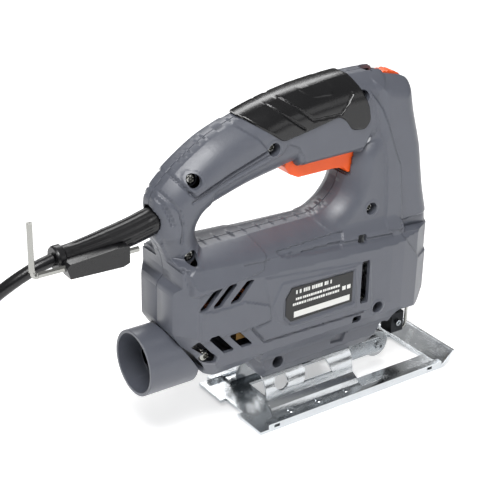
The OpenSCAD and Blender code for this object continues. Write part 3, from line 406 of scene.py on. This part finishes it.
FOOT = rounded_outline([(5, 54), (8, 34), (14, 24.4), (93, 24.4), (98, 29), (104, 39), (112, 54)], 3)
print("outlines of", len(BODY), len(HANDLE), len(COLUMN), len(FOOT), "points")

# %% Plain forms: how far each stands out from the parting plane
OUTSIDE = -8.0

def edge_rounded(distance, half, edge, reach):
    """Rises from its height at the edge to the full half width over the reach."""
    near = 1 - np.clip(distance / reach, 0, 1)
    return half - (half - edge) * near**2.2 + 4 * np.minimum(distance, 0)

def plain_height(u, z):
    d_body, d_handle, d_column = (inside_distance(o, u, z) for o in (BODY, HANDLE, COLUMN))
    d_foot, d_shoulder = inside_distance(FOOT, u, z), inside_distance(SHOULDER, u, z)
    rear_edge = np.interp(z, (44, 49, 62, 74), (-31, -34, -42, -50))
    plan = np.minimum(np.interp(u - rear_edge, (0, 9.5, 11), (16.5, 27.3, 27.5)),
                      np.interp(u, (98, 108, 122, 136, 141.5), (27.5, 26.6, 24, 15, 6)))
    bevel_z = 103 - (u + 32) * 7 / 131
    groove_z = 112.5 - (u + 33) * 12.5 / 137
    side = np.interp(z, (25.5, 32, 38, 44, 51, 58, 62), (14, 19.5, 20, 22, 26.4, 27.4, 27.5))
    over = 27.5 - 4.5 * np.clip((z - bevel_z) / (groove_z - bevel_z), 0, 1)
    body = np.minimum(np.minimum(plan, side), over)
    body = np.where((d_body > -9) & (z < groove_z + 0.3), body, OUTSIDE)
    arch = 1 - np.clip((z - groove_z) / (118.4 - groove_z), 0, 1) ** 1.8
    shoulder = 5 + 18.2 * arch
    shoulder = np.minimum(shoulder, plan - 2.5)
    shoulder = np.where((d_shoulder > -1) & (z >= groove_z - 0.6), shoulder, OUTSIDE)
    boxy = step(u - 35, 3) * step(83 - u, 6) * (z < 176)      # square skirt round the trigger
    handle = edge_rounded(d_handle, 16, 5.5 + 6 * boxy, 14 - 9 * boxy)
    column = edge_rounded(d_column, 18, 7, 12)
    foot = np.interp(z, (24.3, 24.6, 25.5, 33, 56), (7, 10, 14, 19, 19))
    foot = np.where(d_foot > -1, np.minimum(foot, 12 + 1.8 * d_foot), OUTSIDE)
    tall = joined(joined(handle, column, 3.0), shoulder, 3.5)
    low = joined(body, foot, 1.5)
    height = joined(low, tall, 0.8)
    outline = np.maximum.reduce([d_body, d_handle, d_column, d_foot, d_shoulder])
    height = height - 1.1 * step(1.1 - np.abs(z - groove_z), 1.2) * (d_body > 0) * (u < 101) * (u > -46)
    return height, outline, d_handle

# %% [markdown]
# The moulded detail follows the real tool: an arrow-shaped panel at the rear, a stepped panel with
# a frame round the label, slots above and below, panels and grooves on the handle and a strap-like
# ridge down the column. Each is an outline with a height and a soft edge about a millimetre wide.

# %% Raised and sunk panels, grooves and holes
PANELS = [  # outline, rise, edge width
    ([(-38.6, 90.5), (-30, 88.3), (-12, 88.3), (-9.4, 88.9), (7.4, 81.8), (8.7, 72), (-8, 70.8), (-38.4, 71.3)], 1.1, 1.1),
    ([(-2.4, 69.2), (5.1, 58.8), (84.6, 57.1), (80.8, 90.1), (3.7, 99.5), (8.2, 81.6), (9.2, 71.4)], 0.6, 1.2),
    ([(9.4, 81.2), (15.6, 93.5), (69.6, 90.2), (71.1, 62.5), (24.7, 63.4), (13, 69.8)], 0.7, 1.3),
    ([(17.2, 82.2), (21.8, 89.2), (69.3, 88.2), (69.3, 65.8), (22.4, 65.2), (17.2, 70.6)], -1.35, 0.9),
    ([(15.2, 110.5), (18.4, 107.3), (24.7, 105.9), (61.5, 101.8), (65.3, 110.2)], -1.7, 1.0),
    ([(62.7, 42.9), (72.9, 42.3), (69.9, 35.6), (60.8, 36.4)], -1.8, 0.9),
    ([(107, 105.7), (108, 98.6), (123.6, 79.8), (146, 79), (146, 106)], -1.3, 1.3),
    ([(82.7, 190.9), (87.1, 176.5), (93.4, 159.4), (96.6, 141.1), (98, 120.7), (98, 104), (112.1, 101.9), (107, 143),
      (102.2, 152.9), (91.6, 180.2)], 1.5, 1.4),
    ([(-52.4, 173.6), (-34.6, 153.1), (-13.2, 161.8), (11.7, 170.1), (5.7, 177.6), (-7, 187), (-30, 200)], 1.2, 1.1),
    ([(-43, 100), (-43, 112), (-30, 122), (-22, 118), (6, 118), (8, 111), (4, 104)], 1.2, 1.3),
    ([(-22.7, 149.8), (-22.1, 152.8), (-7.4, 157.8), (21.4, 165.6), (26, 171), (33.3, 167.6), (37, 161.7), (39.1, 154),
      (20, 146), (-20, 138)], -1.1, 1.1),
]
GROOVES = [  # line, half width, depth
    ([(-3.4, 69.5), (5.1, 58.8), (77.7, 57.1)], 0.7, 1.2),
    ([(-37.5, 155.9), (-34.6, 153.1), (-13.2, 161.8), (11.7, 170.1)], 0.8, 1.3),
    ([(-36.3, 150.4), (-12.4, 159.1), (13.6, 167.2)], 0.6, 1.0),
    ([(-52.4, 173.6), (-44.1, 164.5), (-37.5, 155.9)], 0.8, 1.4),
    ([(-59.4, 162.4), (-51.5, 150.7), (-48.2, 142.4), (-47.5, 139.2)], 0.8, 1.2),
    ([(-51.1, 156.2), (-44.1, 147.1), (-42.1, 137.9), (-42.5, 128)], 0.8, 1.2),
    ([(-58.4, 143.3), (-51.5, 130.5), (-46.2, 117), (-43.4, 106)], 0.6, 0.7),
]
SLOTS = [  # cooling slots and windows right through the wall
    [(-39.5, 91), (-29, 101), (-25.5, 101), (-34.5, 91)],
    [(-30.5, 90.5), (-19.5, 101), (-15.5, 101), (-25.5, 90.5)],
    [(-18.5, 90.5), (-8, 100.5), (-4, 100.5), (-13, 90.5)],
    [(-40, 66), (-39, 71), (-31.5, 62), (-35, 62)],
    [(-33, 72.5), (-27.5, 72.5), (-17, 60.5), (-22.5, 60.5)],
    [(-18.5, 69.5), (-12.5, 69.5), (-4.5, 60.5), (-10.5, 60.5)],
    [(74.9, 64), (79.6, 64), (79.6, 90.4), (74.9, 90.4)],
    [(75.2, 101.6), (80.2, 101.2), (80.2, 105), (75.2, 105.4)],
    [(71.4, 54.4), (76.6, 54.1), (76.1, 50.9), (71.1, 51.2)],
]
SCREWS = [(-35, 162, 9), (16, 170, 10.5), (78, 189, 9), (87, 119, 13), (-37, 118.5, 10.5), (-32, 58.5, 20),
          (21, 36.5, 12), (89, 57, 20)]
POCKET_R = 3.9

def shell_fields(u, z, right):
    height, outline, _ = plain_height(u, z)
    for points, rise, width in PANELS:
        height = height + rise * step(inside_distance(rounded_outline(points, 1.0), u, z), width) * (height > 2)
    for points, half, depth in GROOVES:
        height = height - depth * step(half - line_distance(points, u, z), 0.9) * (height > 3)
    if right:
        for x, h, depth in SCREWS:
            reach = np.hypot(u - x, z - h)
            height = height + 0.35 * step(5.4 - reach, 0.9)
    inner = np.where(outline > 2.5, height - 2.5, 0.0)
    for wide, x0, x1, z0, z1 in ((8.8, 26, 86, 140, 173), (4.3, 88, 118.5, 166, 210), (8.5, 118, 135, 20, 58)):
        inner = np.where((u > x0) & (u < x1) & (z > z0) & (z < z1), np.maximum(inner, wide), inner)
    seat = np.sqrt(np.maximum(16.3**2 - (z - 12) ** 2, 0)) * (u < 120)
    inner = np.maximum(inner, seat)
    sheath = (u < -40) & (np.abs(z - 139.2) < 9)
    inner = np.where(sheath, np.maximum(inner, np.sqrt(np.maximum(8.4**2 - (z - 139.2) ** 2, 0))), inner)
    port = np.sqrt(np.maximum(19.4**2 - (z - 53.5) ** 2, 0))
    inner = np.where((u < -31) & (z < 74), np.maximum(inner, port), inner)
    if not right:
        inner = np.where(np.hypot(u - 30, z - 172) < 5.3, 99, inner)
    inside = np.minimum(outline, 1.5 * (height - inner - 0.7))
    for points in SLOTS:
        inside = np.minimum(inside, -inside_distance(np.array(points, float), u, z) - 0.7)
    if right:
        for x, h, _ in SCREWS:
            inside = np.minimum(inside, np.hypot(u - x, z - h) - POCKET_R)
    inner = np.where((outline < 0.3) & (inner < 0.35), 0.35, inner)
    return height, np.minimum(inner, height - 0.4), inside

print(len(PANELS), "panels,", len(GROOVES), "grooves,", len(SLOTS), "slots,", len(SCREWS), "screw pockets")

# %% [markdown]
# A grid of points carries the two skins of a shell, the outer and the inner one. Points just outside
# the outline are pulled onto it, so edges and slots run smoothly and not in steps, and walls join
# the two skins along every edge.

# %% From fields to a closed shell
SKIN_NORMALS = {}

def field_shell(name, fields, low, high, pitch, sign, relax=5):
    us = np.arange(low[0], high[0] + pitch, pitch)
    zs = np.arange(low[1], high[1] + pitch, pitch)
    u, z = np.meshgrid(us, zs, indexing="ij")
    z = z - 0.085 * (u - 45)       # rows run along the body's sloping lines
    inside = fields(u, z)[2]
    keep = inside > 0
    for attempt in range(3):       # pull the first row outside onto the edge
        gu = (fields(u + 0.05, z)[2] - inside) / 0.05
        gz = (fields(u, z + 0.05)[2] - inside) / 0.05
        size = np.maximum(gu**2 + gz**2, 0.04)
        move = (~keep) & (inside > -1.5 * pitch)
        shift = np.clip(-inside / size, -pitch, pitch)
        u = np.where(move, u + shift * gu, u)
        z = np.where(move, z + shift * gz, z)
        inside = fields(u, z)[2]
        if attempt == 0:
            near = move
    good = keep | (near & (np.abs(inside) < 0.45))
    cell = good[:-1, :-1] & good[1:, :-1] & good[:-1, 1:] & good[1:, 1:]
    cell &= keep[:-1, :-1] | keep[1:, :-1] | keep[:-1, 1:] | keep[1:, 1:]
    height, inner, inside = fields(u, z)
    for _ in range(relax):         # even out the points where the surface turns steep
        p = np.stack([u, z, height])
        total, count = np.zeros_like(p), np.zeros(u.shape)
        for axis, shift in ((0, 1), (0, -1), (1, 1), (1, -1)):
            there = np.roll(good, shift, axis)
            total += np.roll(p, shift, axis + 1) * there
            count += there
        mean = total / np.maximum(count, 1)
        move = keep & good & (inside < 5) & (count == 4)
        u = np.where(move, 0.45 * u + 0.55 * mean[0], u)
        z = np.where(move, 0.45 * z + 0.55 * mean[1], z)
        height, inner, inside = fields(u, z)
    n, m = u.shape
    index = np.arange(n * m).reshape(n, m)
    a, b, c, d = index[:-1, :-1][cell], index[1:, :-1][cell], index[1:, 1:][cell], index[:-1, 1:][cell]
    outer_faces = np.column_stack([a, b, c, d])
    edges = np.concatenate([outer_faces[:, pair] for pair in ((0, 1), (1, 2), (2, 3), (3, 0))])
    key = edges[:, 0].astype(np.int64) * (n * m) + edges[:, 1]
    back = edges[:, 1].astype(np.int64) * (n * m) + edges[:, 0]
    rim = edges[~np.isin(key, back)]
    outer = np.column_stack([u.ravel() + REAR, sign * height.ravel(), z.ravel()]) * MM
    inner = np.column_stack([u.ravel() + REAR, sign * inner.ravel(), z.ravel()]) * MM
    count = n * m
    faces = np.concatenate([outer_faces, outer_faces[:, ::-1] + count,
                            np.column_stack([rim[:, 1], rim[:, 0], rim[:, 0] + count, rim[:, 1] + count])])
    verts = np.concatenate([outer, inner])
    used, flat = np.unique(faces, return_inverse=True)
    faces = flat.reshape(faces.shape)
    mesh = bpy.data.meshes.new(name)
    mesh.from_pydata(verts[used].tolist(), [], (faces if sign < 0 else faces[:, ::-1]).tolist())
    mesh.update()
    inside = fields(u, z)[2]
    reach = 0.12
    su = np.where(fields(u + reach, z)[2] >= inside, reach, -reach)
    sz = np.where(fields(u, z + reach)[2] >= inside, reach, -reach)
    true = np.stack([-(fields(u + su, z)[0] - height) / su, np.full(u.shape, float(sign)),
                     -(fields(u, z + sz)[0] - height) / sz], -1).reshape(-1, 3)
    true /= np.linalg.norm(true, axis=1)[:, None]
    true = np.concatenate([true, np.zeros_like(true)])[used]
    flat_normal = np.zeros(len(mesh.polygons) * 3)
    mesh.polygons.foreach_get("normal", flat_normal)
    corner = np.zeros(len(mesh.loops), int)
    mesh.loops.foreach_get("vertex_index", corner)
    chosen = true[corner].reshape(-1, 4, 3)
    agrees = (chosen * flat_normal.reshape(-1, 1, 3)).sum(-1).min(1) > 0.05
    agrees &= np.arange(len(agrees)) < len(outer_faces)
    SKIN_NORMALS[name] = np.where(agrees[:, None, None], chosen, 0).reshape(-1, 3)
    return mesh

def set_skin_normals(obj):
    obj.data.normals_split_custom_set(SKIN_NORMALS.pop(obj.data.name).tolist())

for side, sign in (("right", -1), ("left", 1)):
    mesh = field_shell("shell_" + side, lambda u, z, r=(side == "right"): shell_fields(u, z, r),
                       (-57, 13), (143, 211), 0.8, sign, 2)
    shell = hang("shell_" + side, mesh, "root", "shell_plastic", replaced=("housing_" + side,), smooth_deg=48)
    set_skin_normals(shell)
    print(shell.name, len(mesh.polygons) * 2, "triangles")

# %% [markdown]
# The soft grip is a second shot of elastomer that wraps over the back of the handle. It is the same
# kind of height field as the shell below it, a little more than a millimetre proud, with its own
# outline, a moulded hexagon and grooves that lead the palm.

# %% Grip panels
GRIP = rounded_outline([(-9.2, 195.1), (22.2, 173.2), (40.5, 176.3), (60.5, 180.4), (66, 177), (70.4, 170.7),
                        (80, 169.3), (84, 174), (82.5, 182.3), (76, 195.7), (70, 206), (40, 212), (-6, 205)], 2.5)
HEXAGON = [(35.5, 199.3), (44, 193.8), (56.1, 193.5), (58.6, 196.8), (56.4, 201), (40, 204)]
PALM_LINES = [
    ([(23.1, 196.3), (42.3, 182.1), (60.6, 182.1), (69.5, 192)], 0.8, 0.9),
    ([(19, 190.3), (36.1, 178.2)], 0.6, 0.6),
    ([(15.9, 193.3), (29.5, 183.3), (38, 177.2)], 0.5, 0.5),
    ([(-3.3, 191), (17.9, 196.5), (44.9, 199)], 0.5, 0.4),
]

def grip_fields(u, z, right):
    _, _, d_handle = plain_height(u, z)
    inside = np.minimum(inside_distance(GRIP, u, z), d_handle + 1.1)
    height = edge_rounded(d_handle + 1.2, 17.2, 6.2, 15.2)
    height = height - 1.1 * (1 - step(inside_distance(GRIP, u, z) - 0.5, 1.4))
    height = height + 0.5 * step(inside_distance(rounded_outline(HEXAGON, 1.5), u, z), 1.2)
    for points, half, depth in PALM_LINES:
        height = height - depth * step(half - line_distance(points, u, z), 0.9)
    inner = np.where(d_handle > 0.4, np.maximum(edge_rounded(d_handle, 16, 5.5, 14) - 0.5, 0), 0.0)
    if not right:
        inside = np.minimum(inside, np.hypot(u - 30, z - 172) - 6.3)
    return height, np.minimum(inner, height - 0.3), inside

for side, sign in (("right", -1), ("left", 1)):
    mesh = field_shell("grip_skin_" + side, lambda u, z, r=(side == "right"): grip_fields(u, z, r),
                       (-14, 158), (90, 212), 0.65, sign, 2)
    grip = hang("grip_skin_" + side, mesh, "root", "grip_rubber", replaced=("grip_" + side,), smooth_deg=50)
    set_skin_normals(grip)
    print(grip.name, len(mesh.polygons) * 2, "triangles")

# %% [markdown]
# What repeats is set out by Geometry Nodes: a row of points carries a turn for each copy, one small
# shape is set on every point, and the copies are made real and given their material. The result is
# taken as a plain mesh, one for each body, and the tree is left behind.

# %% A tree that sets a shape on points
def copies_tree():
    tree = bpy.data.node_groups.new("copies on points", "GeometryNodeTree")
    for label, kind in (("Points", "NodeSocketGeometry"), ("Shape", "NodeSocketObject"), ("Size", "NodeSocketFloat"),
                        ("Finish", "NodeSocketMaterial")):
        tree.interface.new_socket(label, in_out="INPUT", socket_type=kind)
    tree.interface.new_socket("Copies", in_out="OUTPUT", socket_type="NodeSocketGeometry")
    given = add(tree, "NodeGroupInput")
    shape = add(tree, "GeometryNodeObjectInfo", inputs={"Object": given.outputs["Shape"]})
    turn = add(tree, "GeometryNodeInputNamedAttribute", {"data_type": "FLOAT_VECTOR"}, {"Name": "turn"})
    rotation = add(tree, "FunctionNodeEulerToRotation", inputs={0: turn.outputs["Attribute"]})
    size = add(tree, "ShaderNodeCombineXYZ", inputs={k: given.outputs["Size"] for k in ("X", "Y", "Z")})
    set_out = add(tree, "GeometryNodeInstanceOnPoints",
                  inputs={"Points": given.outputs["Points"], "Instance": shape.outputs["Geometry"],
                          "Rotation": rotation.outputs[0], "Scale": size.outputs["Vector"]})
    real = add(tree, "GeometryNodeRealizeInstances", inputs={"Geometry": set_out.outputs["Instances"]})
    painted = add(tree, "GeometryNodeSetMaterial",
                  inputs={"Geometry": real.outputs["Geometry"], "Material": given.outputs["Finish"]})
    out = add(tree, "NodeGroupOutput")
    tree.links.new(painted.outputs["Geometry"], out.inputs["Copies"])
    return tree

COPIES = copies_tree()

def copies(name, shape_mesh, places, finish, size=1.0):
    """A plain mesh of the shape at every (place in mm, turn in degrees)."""
    shape = bpy.data.objects.new(name + "_shape", shape_mesh)
    points = bpy.data.meshes.new(name + "_points")
    points.from_pydata([tuple(c * MM for c in place) for place, _ in places], [], [])
    turn = points.attributes.new("turn", "FLOAT_VECTOR", "POINT")
    turn.data.foreach_set("vector", [math.radians(a) for _, angles in places for a in angles])
    holder = bpy.data.objects.new(name + "_holder", points)
    bpy.context.scene.collection.objects.link(holder)
    way = holder.modifiers.new("copies", "NODES")
    way.node_group = COPIES
    sockets = {item.name: item.identifier for item in COPIES.interface.items_tree if item.in_out == "INPUT"}
    way[sockets["Shape"]], way[sockets["Size"]], way[sockets["Finish"]] = shape, size, finish
    evaluated = holder.evaluated_get(bpy.context.evaluated_depsgraph_get())
    mesh = bpy.data.meshes.new_from_object(evaluated)
    bpy.data.objects.remove(holder)
    bpy.data.objects.remove(shape)
    mesh.name = name
    return mesh

def turned_mesh(name, profile, sides=32, star=None):
    """A lathe shape about Z from (radius, height) pairs in mm; star gives rings that are lobed."""
    build = bmesh.new()
    rings = []
    for i, (r, h) in enumerate(profile):
        ring = []
        for k in range(sides):
            a = 2 * math.pi * k / sides
            rr = r * (1 + 0.14 * math.cos(6 * a)) if star and i in star else r
            ring.append(build.verts.new((rr * math.cos(a) * MM, rr * math.sin(a) * MM, h * MM)))
        rings.append(ring)
    for one, two in zip(rings, rings[1:]):
        for k in range(sides):
            build.faces.new((one[k], one[(k + 1) % sides], two[(k + 1) % sides], two[k]))
    build.faces.new(rings[0][::-1])
    build.faces.new(rings[-1])
    bmesh.ops.recalc_face_normals(build, faces=build.faces)
    mesh = bpy.data.meshes.new(name)
    build.to_mesh(mesh)
    build.free()
    return mesh

# %% Shell screws: pan heads with a six-lobe socket, deep in their pockets
SCREW_PROFILE = [(1.2, -9), (1.9, -8), (1.9, 0), (3.3, 0.02), (3.5, 0.5), (3.3, 1.5), (2.6, 2.2), (1.75, 2.4),
                 (1.65, 2.35), (1.55, 0.9), (0.3, 0.8)]
screw_shape = turned_mesh("screw", SCREW_PROFILE, 36, star=(8, 9))
screw_places = [((x + REAR, -depth, z), (90, 25 * i, 0)) for i, (x, z, depth) in enumerate(SCREWS)]
screws = copies("shell_screws", screw_shape, screw_places, nickel_plate)
hang("shell_screws", screws, "root", "black_steel", nickel_plate, ("housing_screws",))
for i, (x, z, depth) in enumerate(SCREWS):
    round_it = np.linspace(0, 2 * math.pi, 12)
    top = float(shell_fields(x + 4.6 * np.cos(round_it), z + 4.6 * np.sin(round_it), False)[0].min()) - 0.5
    if top > depth + 0.5:
        wall = POCKET_R + 1
        profile = [(POCKET_R, 0), (POCKET_R, depth - top), (wall, depth - top), (wall, 1.5), (0.2, 1.5), (0.2, 0)]
        sleeve = turned_mesh("boss_%d" % i, profile, 32)
        place = Matrix.Translation(Vector((x + REAR, -depth, z)) * MM)
        sleeve.transform(place @ Matrix.Rotation(-math.pi / 2, 4, "X"))
        hang("screw_boss_%d" % i, sleeve, "root", "shell_plastic")
print("screws:", len(screws.polygons), "faces")

# %% Cradle rivets: low domed heads
RIVET_PROFILE = [(1.6, -3.1), (1.6, 0), (2.5, 0.02), (2.5, 0.3), (2.0, 0.75), (1.2, 0.95), (0.2, 1.0)]
rivet_shape = turned_mesh("rivet", RIVET_PROFILE, 24)
rivet_places = [((REAR + 28 + 21 * i, side * 25.5, 3.5), (0, 0, 0)) for side in (-1, 1) for i in range(3)]
rivets = copies("domed_rivets", rivet_shape, rivet_places, zinc_plate)
hang("domed_rivets", rivets, "base", "zinc_steel", zinc_plate, ("cradle_rivets",))

# %% [markdown]
# The sheath that protects the cord's bend is moulded over it: a thick root in the housing, a long
# taper with shallow lengthwise flutes, and a flange at its end. It is a lathe shape bent along the
# same line as the cord, so its radius follows the distance along that line and the angle round it.

# %% Cord sheath
bend = np.array([(-170, 0, 139.9), (-180, 0, 138), (-193, 0, 135), (-207, 0, 132.6), (-220, 0, 131.3),
                 (-231, 0, 130.7), (-239, 0, 130.5)])
line = resampled(bend, 0.5)
run = np.concatenate(([0], np.cumsum(np.linalg.norm(np.diff(line, axis=0), axis=1))))
radius = np.interp(run, (0, 2, 38, 60, 64.6, 65.0, 68.6, run[-1]), (7.6, 8.0, 7.5, 5.9, 5.7, 7.0, 7.0, 6.3))
around = np.linspace(0, 2 * math.pi, 64, endpoint=False)
flute = 0.75 * (0.5 + 0.5 * np.cos(8 * around)) ** 3          # eight shallow flutes along the taper
fade = np.interp(run, (8, 14, 56, 62), (0, 1, 1, 0))
radius = radius[:, None] - fade[:, None] * flute[None, :]
sheath_tube = tube_mesh("cord_sheath_moulded", line, radius, len(around))
sheath = hang("cord_sheath_moulded", sheath_tube, "root", "cord_rubber", replaced=("cord_sheath",),
              smooth_deg=50)
print("sheath of", round(run[-1], 1), "mm")

# %% Pressed, turned and moulded pieces that keep their CAD shape with a softened edge
EDGES = (  # node, radius in mm, segments
    ("base_plate", 0.5, 3), ("base_cradle", 0.35, 2), ("roller_bracket", 0.3, 2), ("support_roller", 0.4, 2),
    ("blade_clamp", 0.5, 2), ("clamp_screws", 0.25, 2), ("bevel_bolt", 0.3, 2), ("bevel_nut", 0.3, 2),
    ("bevel_clamp_plate", 0.3, 2), ("trigger", 1.1, 3), ("speed_dial", 0.4, 2), ("lock_button", 0.6, 3),
    ("key_holder", 0.8, 3), ("dust_port", 0.6, 3), ("rating_label", 0.12, 1), ("switch_module", 0.6, 2),
    ("capacitor", 0.8, 3), ("gear_bracket", 0.5, 2), ("plunger", 0.3, 2), ("roller_pin", 0.25, 2),
)
for name, width, segments in EDGES:
    softened(name, width, segments)

# %% [markdown]
# The label carries rows of white marks where a maker would print ratings. They are plain bars and
# boxes of many lengths, from a fixed seed, so they read as print and say nothing.

# %% Label print
INK_FRONT, INK_BACK = -27.86, -27.79     # the ink is 0.07 mm thick, on the film's face
print_rng = random.Random(7)
marks = bmesh.new()

def mark(x0, x1, z0, z1):
    corners = ((x0, z0), (x1, z0), (x1, z1), (x0, z1))
    front = [marks.verts.new(((x + REAR) * MM, INK_FRONT * MM, z * MM)) for x, z in corners]
    back = [marks.verts.new(((x + REAR) * MM, INK_BACK * MM, z * MM)) for x, z in corners]
    marks.faces.new(front)
    marks.faces.new(back[::-1])
    for i in range(4):
        marks.faces.new((front[(i + 1) % 4], front[i], back[i], back[(i + 1) % 4]))

rows = ((83.6, 2.4, 26, 52, 1.5), (79.6, 1.5, 26, 58, 0.8), (76.4, 1.5, 24, 57, 0.8))
for z, tall, x, end, gap in rows:
    while x < end:
        wide = print_rng.uniform(0.7, 1.7)
        mark(x, x + wide, z, z + tall)
        x += wide + (gap if print_rng.random() < 0.2 else 0.35)
mark(25, 66, 68.6, 72.4)
for x in (60, 63.6):
    mark(x, x + 2.6, 76.6, 79.2)
bmesh.ops.recalc_face_normals(marks, faces=marks.faces)
print_mesh = bpy.data.meshes.new("label_print")
marks.to_mesh(print_mesh)
marks.free()
hang("label_print", print_mesh, "root", "label_film", label_ink, smooth_deg=0)
print("label marks:", len(print_mesh.polygons) // 6)

# %% [markdown]
# Plain studio: a white floor that glows a little, a soft light high above the camera, a weaker one
# from its right, one behind the tool, and a pale surround with a darker band just above the horizon
# that gives the zinc its contrast.

# %% Floor, lights and surround
floor_mesh = bpy.data.meshes.new("floor")
floor_mesh.from_pydata([(-6, -6, -0.0004), (6, -6, -0.0004), (6, 6, -0.0004), (-6, 6, -0.0004)], [], [(0, 1, 2, 3)])
floor = bpy.data.objects.new("floor", floor_mesh)
bpy.context.scene.collection.objects.link(floor)
glow = {"Emission Color": (1, 1, 1, 1), "Emission Strength": 0.35}
floor_mesh.materials.append(start_material("white_paper", "#ffffff", 0.0, 0.9, **glow)[0])

def soft_light(name, place, aim, size, power):
    data = bpy.data.lights.new(name, "AREA")
    data.shape, data.size, data.size_y, data.energy = "RECTANGLE", size[0], size[1], power
    lamp = bpy.data.objects.new(name, data)
    bpy.context.scene.collection.objects.link(lamp)
    away = Vector(place) - Vector(aim)
    lamp.matrix_world = Matrix.Translation(place) @ away.to_track_quat("Z", "Y").to_matrix().to_4x4()

soft_light("key", (-0.55, -0.45, 1.15), (-0.1, 0, 0.08), (0.5, 0.5), 13.0)
soft_light("fill", (0.55, -1.1, 0.55), (-0.1, 0, 0.08), (0.8, 0.5), 1.6)
soft_light("rim", (0.2, 0.9, 0.9), (-0.1, 0, 0.1), (0.9, 0.4), 6.0)

bpy.context.scene.view_settings.view_transform = "Standard"
world = bpy.data.worlds.new("studio")
bpy.context.scene.world = world
world.use_nodes = True
sky = world.node_tree
back = sky.nodes["Background"]
direction = add(sky, "ShaderNodeTexCoord").outputs["Generated"]
height = add(sky, "ShaderNodeSeparateXYZ", inputs={"Vector": direction}).outputs["Z"]
level = add(sky, "ShaderNodeMapRange", inputs={"Value": height, "From Min": -1.0, "From Max": 1.0}).outputs["Result"]
ramp = add(sky, "ShaderNodeValToRGB", inputs={"Fac": level})
stops = ((0.0, 0.9), (0.5, 0.8), (0.56, 0.18), (0.64, 0.25), (0.74, 0.9), (1.0, 1.0))
while len(ramp.color_ramp.elements) < len(stops):
    ramp.color_ramp.elements.new(0.5)
for element, (place, grey) in zip(ramp.color_ramp.elements, stops):
    element.position, element.color = place, (grey, grey, grey, 1)
sky.links.new(ramp.outputs["Color"], back.inputs["Color"])
back.inputs["Strength"].default_value = 0.38
